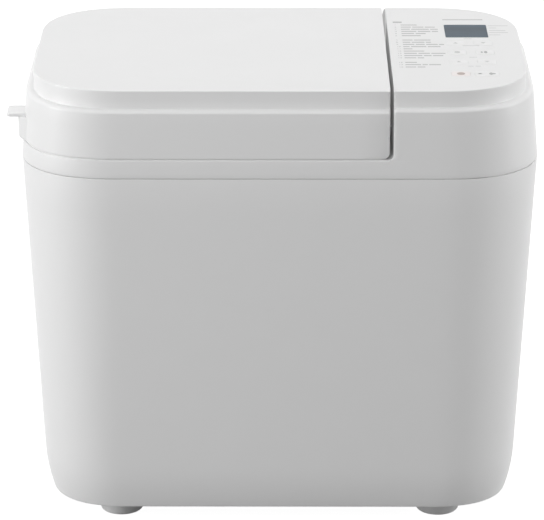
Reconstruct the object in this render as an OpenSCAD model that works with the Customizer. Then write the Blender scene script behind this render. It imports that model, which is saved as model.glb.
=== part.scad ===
// Bread machine: a tapered casing on four feet, a lid that opens to the right, and a control
// panel beside it. Under the lid are an oven and a bread pan, driven by a belt from a motor.
// Millimetres: +X to the right, -Y to the front, +Z up, the floor at Z = 0.
// The modules work about the casing's own middle. in_frame() moves that so that the origin
// is under the middle of the whole outline, which takes in the finger tab on the lid.

/* [Casing] */
// Width of the casing at its top seam
body_w = 398; // [390:1:420]
// Depth of the casing at its top seam
body_d = 249; // [245:1:265]
// Height of the lower casing, from its bottom edge to its seam
casing_h = 275; // [268:1:300]
// Corner radius of the casing at its seam
corner_r = 78.5; // [74:0.5:84]
// Corner radius at the casing's bottom edge
base_corner_r = 62; // [56:0.5:68]
// Squareness of the casing's corners, where 2 is a true arc
corner_power = 2.42; // [2.2:0.02:2.8]
// How far each side leans in, per millimetre of height
side_lean = 0.053; // [0.04:0.001:0.06]
// How far the front and back lean in, per millimetre of height
front_lean = 0.04; // [0.03:0.001:0.045]
// Extra tuck of the walls at the bottom edge
tuck_in = 4.2; // [2:0.1:6]
// Height over which the walls tuck in
tuck_h = 34.6; // [25:0.2:45]
// Thickness of the casing's wall
casing_t = 2.5; // [2:0.1:3.2]
// Width of the flange that carries the base plate
flange_w = 8; // [7:0.5:10]
// Thickness of that flange
flange_t = 2.5; // [2:0.1:3.5]
// Thickness of the base plate
base_t = 2.5; // [2:0.1:3.5]
// Width of one cooling slot
slot_w = 3; // [2:0.2:4]
// Length of one cooling slot
slot_l = 36; // [24:1:44]
// Distance from one cooling slot to the next
slot_pitch = 8; // [6.5:0.5:9]
// Number of cooling slots in the back
slot_count = 8; // [4:1:9]
// Height of the cooling slots above the casing's bottom edge
slot_lift = 30; // [24:1:45]
// Distance from the motor's middle line to the first cooling slot
slot_in = 40; // [36:1:44]

/* [Feet] */
// Height of the casing's bottom edge above the floor
foot_h = 16; // [12:0.5:22]
// Radius of a foot at its top
foot_r = 18; // [13:0.2:20]
// Radius of a foot on the floor
foot_tread_r = 17; // [12:0.2:19]
// Radius of the stem that plugs a foot into the base plate
foot_stem_r = 4; // [3:0.25:5]
// Distance of a foot's middle inside the casing's widest place
foot_in_x = 73.7; // [70:0.1:90]
// Distance of a foot's middle inside the casing's deepest place
foot_in_y = 51.1; // [48:0.1:62]

/* [Upper housing] */
// Height of the strip between the casing's seam and the lid
strip_h = 14.7; // [13:0.1:18]
// Open height of the seam groove round the casing
seam_gap = 0.6; // [0.4:0.1:1]
// Height from the casing's seam to the panel's ledge
ledge_h = 55; // [52:0.2:58]
// Height from the casing's seam to the top face
top_h = 68; // [66:0.2:71]
// How far the ledge stands in from the seam at the sides
ledge_in_x = 4.45; // [3:0.05:6]
// How far the ledge stands in from the seam at the front and back
ledge_in_y = 0.6; // [0.4:0.05:2]
// Corner radius of the ledge
ledge_r = 76.5; // [73:0.5:80]
// How far the raised top stands in from the seam at the sides
top_in_x = 9.9; // [9:0.1:12]
// How far the raised top stands in from the seam at the front and back
top_in_y = 5.2; // [4.6:0.1:7]
// Corner radius of the raised top
top_r = 73.5; // [70:0.5:76]
// Radius of the soft edge round the ledge
ledge_edge = 2.4; // [1.6:0.1:2.8]
// Radius of the edge round the raised top
top_edge = 1; // [0.5:0.1:1.5]
// Wall of the upper housing and of the lid
housing_t = 2.5; // [2.2:0.1:2.8]
// Thickness of the deck round the oven
deck_t = 3; // [2.5:0.1:4]
// Depth of the skirt that plugs into the casing
skirt_h = 8; // [6:0.5:12]
// Clearance between the skirt and the casing
skirt_gap = 0.3; // [0.2:0.05:0.5]
// Width of the deck that is left behind the cable way
way_in = 49.5; // [46:0.5:56]

/* [Lid] */
// Share of the casing's width that lies left of the gap between lid and panel
lid_share = 0.7107; // [0.7:0.001:0.72]
// Width of that gap
split_gap = 2.3; // [2:0.1:3]
// Gap under the lid
lid_gap = 1.2; // [0.8:0.1:1.6]
// How much lower the lid's ledge is than the panel's
ledge_drop = 1.2; // [0:0.1:1.6]
// Radius of the lid's lower corner beside the panel
lid_corner_r = 5; // [3:0.5:7]
// Length of the finger tab along the side
tab_l = 22; // [16:1:28]
// Reach of the finger tab past the casing's side
tab_out = 10; // [8:0.5:12]
// Thickness of the finger tab
tab_t = 3; // [2.4:0.1:4]
// Distance of the tab's middle in front of the casing's middle
tab_y = 62; // [56:1:66]
// Height of the tab's top above the lid's lower edge
tab_lift = 20; // [16:0.5:24]
// Reach of the swelling under the finger tab past the casing's side
swell_out = 1.6; // [1:0.1:4]
// Thickness of the metal cover inside the lid
cover_t = 1; // [0.8:0.1:1.5]
// Height of the cover above the lid's lower edge
cover_lift = 2.1; // [1.9:0.1:3]
// Width of the seal under the cover
seal_w = 7; // [5:0.5:9]
// Radius of a post that carries the cover
cover_post_r = 4.5; // [3.5:0.25:6]
// Width of the steam duct
duct_w = 60; // [50:1:70]
// Height of the steam duct
duct_h = 22; // [18:1:26]
// Wall of the steam duct
duct_t = 1.5; // [1.2:0.1:2]
// Number of steam slots
steam_count = 6; // [3:1:6]

/* [Hinge] */
// Distance of the hinge pin right of the lid's edge
pin_out = 20; // [19:0.5:22]
// Depth of the hinge pin below the top face
pin_down = 9; // [8.6:0.1:9.2]
// Radius of the hinge pin
pin_r = 2.5; // [2:0.1:2.8]
// Distance of each hinge arm from the casing's middle
arm_y = 70; // [62:1:72]
// Width of a hinge arm
arm_w = 8; // [6:0.5:10]
// Thickness of a hinge arm's upright
arm_t = 5; // [4:0.25:5]
// Thickness of a hinge arm's lower bar
bar_t = 8; // [6:0.5:9]
// Running clearance round a pin or shaft
run_gap = 0.05; // [0.03:0.01:0.08]
// Thickness of a bracket's ears
ear_t = 3; // [2:0.25:4]

/* [Oven] */
// Width inside the oven
oven_w = 213; // [208:1:216]
// Depth inside the oven
oven_d = 188; // [184:1:194]
// Corner radius inside the oven
oven_r = 35; // [30:1:38]
// Thickness of the oven's sheet
oven_t = 1; // [0.8:0.1:1.5]
// Width of the rim that hangs the oven from the deck
oven_rim = 9; // [7:0.5:11]
// Height of the oven's floor above the drive frame
oven_lift = 24; // [22:0.5:28]
// Radius of the heater's rod
heater_r = 3.5; // [3:0.1:4]
// Distance between the oven's wall and the heater's middle line
heater_in = 13; // [12:0.5:14]
// Bend radius of the heater
heater_bend = 26; // [22:1:30]
// Height of the heater above the oven's floor
heater_lift = 14; // [12:0.5:18]
// Distance between the heater's two ends
heater_ends = 30; // [24:1:40]
// Gap between the oven and the heat shield
shield_gap = 9; // [8:0.5:12]
// Thickness of the heat shield
shield_t = 0.8; // [0.6:0.1:1.2]
// Outer radius of the ring that the pan stands in
seat_r = 46; // [44.5:0.5:50]
// Thickness of that ring's wall
seat_t = 5; // [3:0.5:5]
// Height of that ring
seat_h = 12; // [9:0.5:14]
// Height of the temperature sensor above the oven's floor
sensor_up = 70; // [60:1:90]

/* [Bread pan] */
// Width of the pan under its rim
pan_w = 168; // [164:1:172]
// Depth of the pan under its rim
pan_d = 136; // [130:1:144]
// Height of the pan
pan_h = 140; // [126:1:144]
// Corner radius of the pan
pan_r = 32; // [26:1:36]
// Size of the step round the pan's bottom edge
pan_step = 3; // [2:0.25:4]
// Thickness of the pan's wall
pan_t = 1.6; // [1.4:0.1:2.2]
// Width of the pan's rim outside its wall
rim_w = 4; // [3:0.25:5]
// Height of the rim
rim_h = 3; // [2:0.25:4]
// Outer radius of the pan's foot
pan_foot_r = 38.5; // [36:0.5:39]
// Height of the pan's underside above the oven's floor
pan_lift = 18; // [17:0.5:21]
// Radius of the pan's shaft and of the drive shaft
shaft_r = 4; // [3.5:0.1:4.5]
// Outer radius of the pan's bush
bush_r = 6.5; // [6:0.25:7.5]
// Height of the boss inside the pan
boss_h = 11; // [9:0.5:14]
// Length of the kneading blade
blade_l = 48; // [38:1:54]
// Height of the kneading blade
blade_h = 28; // [22:1:34]
// Thickness of the kneading blade
blade_t = 5; // [4:0.25:7]
// Wall of the blade's hub round the shaft
hub_wall = 6; // [4:0.5:7]
// Radius of the hub of the pan's coupling
pan_hub_r = 6.5; // [5.5:0.25:7.5]
// Length of the coupling's bar from the shaft's middle
pan_dog_l = 14; // [12:0.5:15]
// Half the width of that bar
pan_dog_w = 3; // [2.5:0.25:3.5]
// Reach of the handle from its pivot
handle_l = 66; // [63:0.5:67]
// Radius of the handle's grip
grip_r = 5; // [4:0.25:5.5]
// Thickness of a handle arm
handle_t = 2.5; // [2:0.1:3]
// Depth of the handle's pivot under the rim
pivot_down = 10; // [9:0.5:13]
// Radius of the handle's rivets
rivet_r = 3; // [2.5:0.1:3.5]

/* [Drive] */
// Radius of the large pulley under its belt
pulley_r = 44; // [40:0.5:45]
// Radius of the motor's pulley under its belt
pinion_r = 7; // [6:0.25:9]
// Width of both pulleys
pulley_w = 12; // [10:0.5:14]
// Width of the rim on each side of the belt
pulley_lip = 2; // [1.5:0.25:2.5]
// Thickness of the belt
belt_t = 2.5; // [2:0.1:3]
// Clearance between the belt and what it runs on
belt_gap = 0.3; // [0.2:0.05:0.4]
// Height of the pulleys above the base plate
pulley_lift = 11; // [8:0.5:15]
// Gap between the pulleys and the drive frame
frame_gap = 8; // [6:0.5:12]
// Thickness of the drive frame
frame_t = 2; // [1.5:0.1:3]
// Half depth of the drive frame
frame_y = 48; // [46:0.5:50]
// Radius of a leg of the drive frame
leg_r = 4.5; // [3.5:0.25:5]
// Outer radius of the bearing housing
housing_r = 15; // [13:0.5:18]
// Radius of the bearing housing's neck
neck_r = 11.5; // [10.5:0.25:12]
// Height of the neck above the oven's floor
neck_h = 5; // [4:0.25:6]
// Outer radius of the shaft's bearings
bearing_r = 7; // [6:0.25:8]
// Length of one bearing
bearing_l = 10; // [8:0.5:12]
// Height of the coupling's hub and of its dogs
dog_h = 5; // [4:0.1:5]
// Free height under and over the dogs where they meet
dog_end = 0.6; // [0.4:0.1:0.8]

/* [Motor] */
// Width of the motor's core
motor_w = 80; // [74:1:84]
// Height of the motor's core
motor_h = 34; // [28:1:44]
// Height of one end cap
cap_h = 18; // [16:0.5:24]
// Radius of the end caps
cap_r = 36; // [34:0.5:37]
// Radius of the rotor
rotor_r = 22; // [20:0.5:23]
// Air gap round the rotor
rotor_gap = 0.6; // [0.4:0.1:0.8]
// Radius of the motor's shaft
motor_shaft_r = 3; // [2.5:0.1:3.5]
// How far the motor stands left of the middle between the shield and the casing
motor_shift = 4.3; // [2:0.1:5]

/* [Electrics] */
// Width of the power board
power_w = 78; // [70:1:80]
// Depth of the power board
power_d = 38; // [34:1:38]
// Distance of the power board's middle inside the casing's back
power_in = 37.3; // [36.5:0.1:38]
// Thickness of both circuit boards
board_t = 1.6; // [1.2:0.1:2]
// Height of the power board above the base plate
power_lift = 8; // [6:0.5:10]
// Radius of the run capacitor
capacitor_r = 17; // [14:0.5:18]
// Height of the run capacitor
capacitor_h = 45; // [38:1:60]
// Bore of the cord inlet
inlet_r = 3.8; // [3:0.1:4.5]
// Height of the cord inlet above the casing's bottom edge
inlet_lift = 29; // [24:1:40]

/* [Controls] */
// Width of the display
lcd_w = 33; // [28:1:35]
// Depth of the display
lcd_d = 37; // [30:1:39]
// Share of the panel's width left of the display's middle
mid_share = 0.603; // [0.59:0.001:0.62]
// Place of the display's middle, as a share of the panel's half depth
lcd_share = 0.402; // [0.39:0.001:0.42]
// Distance of the left column of keys from the display's middle
key_left = 10; // [9:0.1:11]
// Distance between the two columns of keys
key_gap_x = 21.7; // [20:0.1:22]
// Place of the rearmost row of keys, as a share of the panel's half depth
key_share = 0.109; // [0.1:0.001:0.12]
// Distance between two rows of keys, as a share of the panel's half depth
row_share = 0.222; // [0.21:0.001:0.23]
// Place of the start and stop keys in front, as a share of the panel's half depth
start_share = 0.612; // [0.6:0.001:0.63]
// Width of a key
key_w = 14; // [11:0.5:15]
// Depth of a key
key_d = 12; // [9:0.5:14]
// Width of the stop key
stop_w = 18; // [14:0.5:20]
// Corner radius of a key
key_r = 3; // [2:0.25:4]
// Clearance round a key
key_gap = 0.3; // [0.2:0.05:0.4]
// How far a key stands proud of the top face
key_proud = 0.4; // [0.2:0.1:0.8]
// How far a key travels
key_travel = 0.7; // [0.5:0.1:0.8]
// Depth of the control board under the housing's ceiling
board_down = 12; // [11:0.5:14]
// Share of the panel's width that the control board takes
board_share = 0.461; // [0.44:0.001:0.47]
// Distance of the control board behind the housing's front
board_front = 32.5; // [32:0.5:36]
// Distance of the control board in front of the housing's back
board_back = 41; // [40:0.5:48]

/* [Fasteners] */
// Radius of a small screw's shank
screw_r = 1.5; // [1.2:0.1:2]
// Radius of a small screw's head
screw_head_r = 3; // [2.5:0.1:3.4]
// Height of a small screw's head
screw_head_h = 1.3; // [1:0.1:1.4]
// Length of a lid screw in the lid's post
lid_screw_l = 9; // [7:0.5:10]
// Radius of the motor's bolts
bolt_r = 2; // [1.6:0.1:2.4]

/* [Hidden] */
$fn = 48;
eps = 0.01;
cut_over = 1;           // how far a cutter runs past the face that it cuts
corner_steps = 12;      // facets in one corner of a moulded outline

body_z0 = foot_h;
seam_z = body_z0 + casing_h;
deck_z = seam_z + strip_h;
ledge_z = seam_z + ledge_h;
top_z = seam_z + top_h;
base_z = body_z0 + flange_t;
base_top = base_z + base_t;
lid_z0 = deck_z + lid_gap;
lid_ledge_z = ledge_z - ledge_drop;
split_x = (lid_share - 0.5) * body_w;
lid_x1 = split_x - split_gap / 2;
panel_x0 = split_x + split_gap / 2;
panel_w = body_w / 2 - top_in_x - panel_x0;
panel_mid = panel_x0 + mid_share * panel_w;
origin_x = tab_out / 2;
foot_x = body_w / 2 - foot_in_x;
foot_y = body_d / 2 - foot_in_y;

oven_x = (lid_x1 - body_w / 2) / 2;
oven_top = deck_z - deck_t;
pulley_z0 = base_top + pulley_lift;
frame_z0 = pulley_z0 + pulley_w + frame_gap;
frame_top = frame_z0 + frame_t;
oven_z0 = frame_top + oven_lift;
floor_z = oven_z0 + oven_t;
shield_x = oven_x + oven_w / 2 + oven_t + shield_gap;
motor_x = (shield_x + shield_t + casing_at(frame_z0)[0] - casing_t) / 2 - motor_shift;
shield_in = 6;          // from the shield's side to the oven's inner side
shield_foot = 7;        // width of the shield's foot
shield_down = 10;       // from the shield's top to the oven's

pin_x = lid_x1 + pin_out;
pin_z = top_z - pin_down;
eye_r = pin_r + 2.5;
bar_z0 = lid_z0 + cover_lift;
ear_gap = 0.4;          // between a hinge arm and the ears beside it

cover_z = lid_z0 + cover_lift;
cover_w = oven_w + 2 * (seal_w + 5);
cover_d = oven_d + 2 * (seal_w + 5);
cover_r = oven_r + seal_w + 5;
seal_in = 3;            // from the oven's wall to the seal
cover_post_x = oven_w / 2 - 12;
cover_post_y = oven_d / 2 - 9;
ceiling_z = top_z - housing_t;

seat_floor_t = 2.5;
neck_top = floor_z + neck_h;
dog_z0 = neck_top + 0.4;
dog_mid = dog_z0 + dog_h + 0.4;
pan_z0 = floor_z + pan_lift;
pan_rim_z = pan_z0 + pan_h;
pan_floor_t = 2;
bush_flange_t = 1.4;
boss_top = pan_z0 + boss_h;
blade_z0 = boss_top + 0.6;
shaft_top = blade_z0 + blade_h * 0.7;
pivot_z = pan_rim_z - pivot_down;
grip_up = pivot_down + grip_r + 0.3;
handle_x = pan_w / 2 + rim_w + 0.5;
handle_y = sqrt(pow(handle_l, 2) - pow(grip_up, 2));
heater_z = floor_z + heater_lift;

core_z0 = frame_top + cap_h;
core_z1 = core_z0 + motor_h;
motor_bolt_xy = motor_w / 2 - 7;

key_z1 = top_z + key_proud;
board_z1 = ceiling_z - board_down;
board_w = board_share * panel_w;
panel_d = body_d / 2 - top_in_y;
lcd_y = lcd_share * panel_d;
key_y = key_share * panel_d;
key_gap_y = row_share * panel_d;
start_y = start_share * panel_d;
key_x0 = panel_mid - key_left;
key_flange = 1.5;       // how far a key's flange reaches under the ceiling
switch_h = 3.5;
plunger_h = 1.5;

white = [0.92, 0.92, 0.92];
pale = [0.96, 0.96, 0.96];
steel = [0.72, 0.73, 0.74];
aluminium = [0.80, 0.80, 0.81];
dark = [0.20, 0.20, 0.22];
non_stick = [0.25, 0.25, 0.26];
board_green = [0.10, 0.35, 0.20];

// ---- outlines -------------------------------------------------------------------------

// Half width, half depth and corner radius of an outline, drawn in by a distance.
function inset(s, by) = [s[0] - by, s[1] - by, s[2] - by];

function blend(a, b, f) = a + (b - a) * f;

// The casing's outside at height z: it leans in all the way down, and tucks in at the bottom.
function casing_at(z) =
    let (
        down = seam_z - z,
        tuck = tuck_in * pow(max(0, body_z0 + tuck_h - z) / tuck_h, 2)
    )
    [
        body_w / 2 - side_lean * down - tuck,
        body_d / 2 - front_lean * down - tuck,
        blend(corner_r, base_corner_r, down / casing_h)
    ];

// The outside of the strip, the lid and the panel between the seam and the ledge.
seam_s = [body_w / 2, body_d / 2, corner_r];
ledge_s = [body_w / 2 - ledge_in_x, body_d / 2 - ledge_in_y, ledge_r];
top_s = [body_w / 2 - top_in_x, body_d / 2 - top_in_y, top_r];
function upper_at(z) = blend(seam_s, ledge_s, (z - seam_z) / ledge_h);

// One quarter of an outline, anticlockwise from above. Quarter 0 is at +X +Y.
function quarter(k, s) = [
    for (i = [0 : corner_steps])
        let (
            a = 90 * i / corner_steps,
            c = s[2] * pow(cos(a), 2 / corner_power),
            d = s[2] * pow(sin(a), 2 / corner_power),
            x = s[0] - s[2],
            y = s[1] - s[2]
        )
        k == 0 ? [x + c, y + d] :
        k == 1 ? [-x - d, y + c] :
        k == 2 ? [-x - c, -y - d] :
        [x + d, -y - c]
];
function whole(s) = concat(quarter(0, s), quarter(1, s), quarter(2, s), quarter(3, s));
function left_of(s, x) = concat([[x, s[1]]], quarter(1, s), quarter(2, s), [[x, -s[1]]]);
function right_of(s, x) = concat([[x, -s[1]]], quarter(3, s), quarter(0, s), [[x, s[1]]]);
function at_height(points, z, dx = 0) = [for (p = points) [p[0] + dx, p[1], z]];

// A skin over a chain of rings with equal numbers of points. A closed chain is a tube whose
// last ring joins its first; an open one is capped by its first and last rings.
module skin(rings, closed = false) {
    n = len(rings[0]);
    m = len(rings);
    sides = [
        for (j = [0 : closed ? m - 1 : m - 2], i = [0 : n - 1])
            let (
                a = j * n + i,
                b = j * n + (i + 1) % n,
                c = ((j + 1) % m) * n + i,
                d = ((j + 1) % m) * n + (i + 1) % n
            )
            each [[a, c, b], [b, c, d]]
    ];
    caps = closed ? [] : [
        [for (i = [0 : n - 1]) i],
        [for (i = [0 : n - 1]) m * n - 1 - i]
    ];
    polyhedron([for (r = rings) each r], concat(sides, caps));
}

// ---- small shapes ---------------------------------------------------------------------

module in_frame() {
    translate([origin_x, 0, 0]) children();
}

module round_rect(w, d, r) {
    square([w, d - 2 * r], center = true);
    square([w - 2 * r, d], center = true);
    for (x = [-1, 1], y = [-1, 1]) translate([x * (w / 2 - r), y * (d / 2 - r)]) circle(r);
}

// A slab with rounded corners from z0 to z1, centred on x, y.
module slab(w, d, r, z0, z1, x = 0, y = 0) {
    translate([x, y, z0]) linear_extrude(z1 - z0) round_rect(w, d, r);
}

module post(r, z0, z1, x = 0, y = 0) {
    translate([x, y, z0]) cylinder(r = r, h = z1 - z0);
}

module tube(r, hole, z0, z1, x = 0, y = 0) {
    difference() {
        post(r, z0, z1, x, y);
        post(hole, z0 - cut_over, z1 + cut_over, x, y);
    }
}

module block(x0, x1, y0, y1, z0, z1) {
    translate([x0, y0, z0]) cube([x1 - x0, y1 - y0, z1 - z0]);
}

// A cylinder along X from x0 to x1.
module bar_x(r, x0, x1, y, z) {
    translate([x0, y, z]) rotate([0, 90, 0]) cylinder(r = r, h = x1 - x0);
}

// A cylinder along Y from y0 to y1.
module bar_y(r, x, y0, y1, z) {
    translate([x, y1, z]) rotate([90, 0, 0]) cylinder(r = r, h = y1 - y0);
}

module at_corners(x, y) {
    for (i = [-1, 1], j = [-1, 1]) translate([i * x, j * y, 0]) children();
}

// ---- casing ---------------------------------------------------------------------------

tuck_rings = [0, 0.08, 0.22, 0.42, 0.68, 1];   // heights of the rings in the tuck
screw_xs = [-100, 0, 100];

module body_shell() in_frame() color(white) {
    outer = [for (f = tuck_rings) body_z0 + f * tuck_h];
    inner_z0 = body_z0 + flange_t;
    inner = [for (f = tuck_rings) max(inner_z0, body_z0 + f * tuck_h)];
    last = len(tuck_rings) - 1;
    difference() {
        skin(concat(
            [for (z = outer) at_height(whole(casing_at(z)), z)],
            [at_height(whole(seam_s), seam_z)],
            [at_height(whole(inset(seam_s, casing_t)), seam_z)],
            [for (i = [last : -1 : 2]) at_height(whole(inset(casing_at(inner[i]), casing_t)), inner[i])],
            [at_height(whole(inset(casing_at(inner_z0), casing_t)), inner_z0)],
            [at_height(whole(inset(casing_at(inner_z0), flange_w)), inner_z0)],
            [at_height(whole(inset(casing_at(body_z0), flange_w)), body_z0)]
        ), closed = true);
        cooling_slots();
        bar_y(inlet_barrel_r + skirt_gap, inlet_x, body_d / 4, body_d, inlet_z);
        for (x = screw_xs, y = [-1, 1]) translate([x, y * base_screw_y, 0]) {
            post(screw_r + 0.2, body_z0 - cut_over, base_z + cut_over);
            post(screw_head_r + 0.2, body_z0 - cut_over, body_z0 + screw_head_h);
        }
    }
}

module cooling_slots() {
    first = motor_x - slot_in;
    for (i = [0 : slot_count - 1])
        block(first + i * slot_pitch, first + i * slot_pitch + slot_w, body_d / 4, body_d,
            body_z0 + slot_lift, body_z0 + slot_lift + slot_l);
}

module base_plate() in_frame() color(dark) {
    plan = whole(inset(casing_at(base_z), casing_t + skirt_gap));
    difference() {
        union() {
            translate([0, 0, base_z]) linear_extrude(base_t) polygon(plan);
            translate([power_x, power_y, 0])
                at_corners(power_post_x, power_post_y) post(board_post_r, base_top, power_z);
        }
        translate([power_x, power_y, 0])
            at_corners(power_post_x, power_post_y) post(screw_r, power_z - post_bite, power_z + cut_over);
        at_corners(foot_x, foot_y) post(foot_stem_r, base_z - cut_over, base_top + cut_over);
        for (x = screw_xs, y = [-1, 1])
            post(screw_r, base_z - cut_over, base_top + cut_over, x, y * base_screw_y);
        for (i = [0 : 7])
            block(motor_x - 32 + i * slot_pitch, motor_x - 32 + i * slot_pitch + slot_w, -20, 16,
                base_z - cut_over, base_top + cut_over);
    }
}

foot_edge = 3;          // the rounded edge of a foot's tread

module rubber_feet() in_frame() color(dark) {
    at_corners(foot_x, foot_y) rotate_extrude() polygon([
        [0, 0],
        [foot_tread_r - foot_edge, 0],
        [foot_tread_r - foot_edge * 0.3, foot_edge * 0.3],
        [foot_tread_r, foot_edge],
        [foot_r, base_z - 3],
        [foot_r, base_z],
        [foot_stem_r, base_z],
        [foot_stem_r, base_top],
        [foot_stem_r + 1, base_top],
        [foot_stem_r, base_top + 2.5],
        [0, base_top + 2.5]
    ]);
}

// A small screw, its head below z and its shank above.
module screw(z, shank) {
    post(screw_head_r, z - screw_head_h, z);
    post(screw_r, z - eps, z + shank);
}

module case_screws() in_frame() color(steel) {
    for (x = screw_xs, y = [-1, 1]) translate([x, y * base_screw_y, 0])
        screw(body_z0 + screw_head_h, base_top + 2 - body_z0 - screw_head_h);
    translate([panel_mid, board_yc, 0])
        at_corners(board_post_x, board_post_y) screw(board_z1 - board_t, board_t + post_bite);
    translate([power_x, power_y, power_top]) mirror([0, 0, 1])
        at_corners(power_post_x, power_post_y) screw(0, board_t + post_bite);
}

inlet_x = 40;                                   // beside the belt, behind the oven's right end
inlet_z = body_z0 + inlet_lift;
inlet_barrel_r = inlet_r + 3.5;
inlet_flange_r = inlet_barrel_r + 3;
inlet_y = casing_at(inlet_z + inlet_flange_r)[1] + 0.1;
base_screw_y = casing_at(body_z0)[1] - flange_w / 2 - 0.4;

module cord_inlet() in_frame() color(dark) {
    difference() {
        union() {
            bar_y(inlet_flange_r, inlet_x, inlet_y, inlet_y + 3, inlet_z);
            bar_y(inlet_barrel_r, inlet_x, inlet_y - 14, inlet_y + 1, inlet_z);
            bar_y(inlet_flange_r, inlet_x, inlet_y - 9, inlet_y - 5, inlet_z);
        }
        bar_y(inlet_r, inlet_x, inlet_y - 15, inlet_y + 4, inlet_z);
    }
}

// ---- upper housing --------------------------------------------------------------------

// The outside of the lid or the panel, from a height up to the top face, as rings.
// cut names the side that is kept: -1 left of the split, 1 right of it.
function side_plan(cut, s, x) = cut < 0 ? left_of(s, x) : right_of(s, x);

function crown(cut, x, ledge) =
    let (
        under = inset(upper_at(ledge - ledge_edge), 0),
        soft = ledge_edge * (1 - sqrt(0.5)),
        ledge_at = upper_at(ledge)
    )
    [
        at_height(side_plan(cut, under, x), ledge - ledge_edge),
        at_height(side_plan(cut, inset(ledge_at, soft), x), ledge - soft),
        at_height(side_plan(cut, inset(ledge_at, ledge_edge), x), ledge),
        at_height(side_plan(cut, inset(top_s, -0.3), x), ledge + 0.4),
        at_height(side_plan(cut, top_s, x), top_z - top_edge),
        at_height(side_plan(cut, inset(top_s, top_edge), x), top_z)
    ];

// The inside of the same, from the ceiling down to z0.
function hollow(cut, x, ledge, z0) =
    let (under = inset(upper_at(ledge - 2 * housing_t), housing_t))
    [
        at_height(side_plan(cut, inset(top_s, housing_t), x), ceiling_z),
        at_height(side_plan(cut, inset(top_s, housing_t), x), ledge - housing_t),
        at_height(side_plan(cut, under, x), ledge - 2 * housing_t),
        at_height(side_plan(cut, inset(upper_at(z0), housing_t), x), z0)
    ];

// The rounded corner where the split meets the deck: rings that move the split's face.
function corner_rings(cut, x, z0, r) = [
    for (a = [0, 30, 60, 90])
        let (z = z0 + r * (1 - cos(a)))
        at_height(side_plan(cut, upper_at(z), x - r * (1 - sin(a))), z)
];

module deck() {
    low = seam_z - skirt_h;
    skirt_low = inset(casing_at(low), casing_t + skirt_gap);
    skirt_high = inset(seam_s, casing_t + skirt_gap);
    mouth = [oven_w / 2 + oven_t, oven_d / 2 + oven_t, oven_r + oven_t];
    skin([
        at_height(whole(skirt_low), low),
        at_height(whole(skirt_high), seam_z + seam_gap),
        at_height(whole(seam_s), seam_z + seam_gap),
        at_height(whole(upper_at(deck_z)), deck_z),
        at_height(whole(mouth), deck_z, oven_x),
        at_height(whole(mouth), oven_top, oven_x),
        at_height(whole(inset(skirt_high, housing_t)), oven_top),
        at_height(whole(inset(skirt_low, housing_t)), low)
    ], closed = true);
}

module control_tower() {
    skin(concat(
        hollow(1, panel_x0 + housing_t, ledge_z, deck_z),
        corner_rings(1, panel_x0, deck_z, lid_corner_r),
        crown(1, panel_x0, ledge_z)
    ));
}

deck_lip = 3;           // what is left of the deck inside the panel's wall
deck_rim = 30;          // from the way down to the casing's right side
way_y = body_d / 2 - way_in;

module upper_housing() in_frame() color(white) {
    difference() {
        union() {
            deck();
            control_tower();
            control_board_posts();
        }
        // The way down from the control panel into the casing.
        block(panel_x0 + housing_t + deck_lip, body_w / 2 - deck_rim, -way_y, way_y,
            oven_top - cut_over, deck_z + cut_over);
        for (y = [-1, 1])
            block(panel_x0 - lid_corner_r, panel_x0 + housing_t + cut_over,
                y * arm_y - arm_w / 2 - 1, y * arm_y + arm_w / 2 + 1,
                deck_z + eps, ceiling_z - 0.1);
        for (k = key_places)
            slab(k[2] + 2 * key_gap, key_d + 2 * key_gap, key_r + key_gap,
                ceiling_z - cut_over, top_z + cut_over, k[0], k[1]);
        slab(lcd_w, lcd_d, 1, ceiling_z - cut_over, top_z + cut_over, panel_mid, lcd_y);
        translate([panel_mid, board_yc, 0])
            at_corners(board_post_x, board_post_y) post(screw_r, board_z1 - cut_over, board_z1 + post_bite);
    }
}

// ---- lid ------------------------------------------------------------------------------

tab_root = body_w / 2 - 7;
tab_top = lid_z0 + tab_lift;

module finger_tab() {
    lip = body_w / 2 + tab_out - tab_root;
    swell = body_w / 2 + swell_out - tab_root;
    slab(lip, tab_l, 3, tab_top - tab_t, tab_top, -tab_root - lip / 2, -tab_y);
    slab(swell, tab_l + 4, 3, lid_z0, tab_top - tab_t + eps, -tab_root - swell / 2, -tab_y);
}

module lid_shell() in_frame() color(white) {
    difference() {
        union() {
            skin(concat(
                hollow(-1, lid_x1 - housing_t, lid_ledge_z, lid_z0 + lid_corner_r),
                [at_height(left_of(inset(upper_at(lid_z0), housing_t), lid_x1 - housing_t - lid_corner_r), lid_z0)],
                corner_rings(-1, lid_x1, lid_z0, lid_corner_r),
                crown(-1, lid_x1, lid_ledge_z)
            ));
            finger_tab();
            translate([oven_x, 0, 0])
                at_corners(cover_post_x, cover_post_y) post(cover_post_r, cover_z + cover_t, ceiling_z + eps);
        }
        for (y = [-1, 1])
            block(lid_x1 - housing_t - lid_corner_r - cut_over, lid_x1 + cut_over,
                y * arm_y - arm_w / 2 - 0.2, y * arm_y + arm_w / 2 + 0.2,
                lid_z0 - cut_over, bar_z0 + bar_t + 0.2);
        steam_slots();
        translate([oven_x, 0, 0])
            at_corners(cover_post_x, cover_post_y) post(screw_r, cover_z, cover_z + lid_screw_l + 3);
    }
}

steam_pitch = 8;
steam_slot_w = 4;
steam_slot_h = 12;

module steam_slots() {
    x0 = oven_x - (steam_count * steam_pitch - (steam_pitch - steam_slot_w)) / 2;
    for (i = [0 : steam_count - 1])
        block(x0 + i * steam_pitch, x0 + i * steam_pitch + steam_slot_w, body_d / 2 - 12, body_d / 2 + cut_over,
            cover_z + cover_t + 4, cover_z + cover_t + 4 + steam_slot_h);
}

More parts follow.
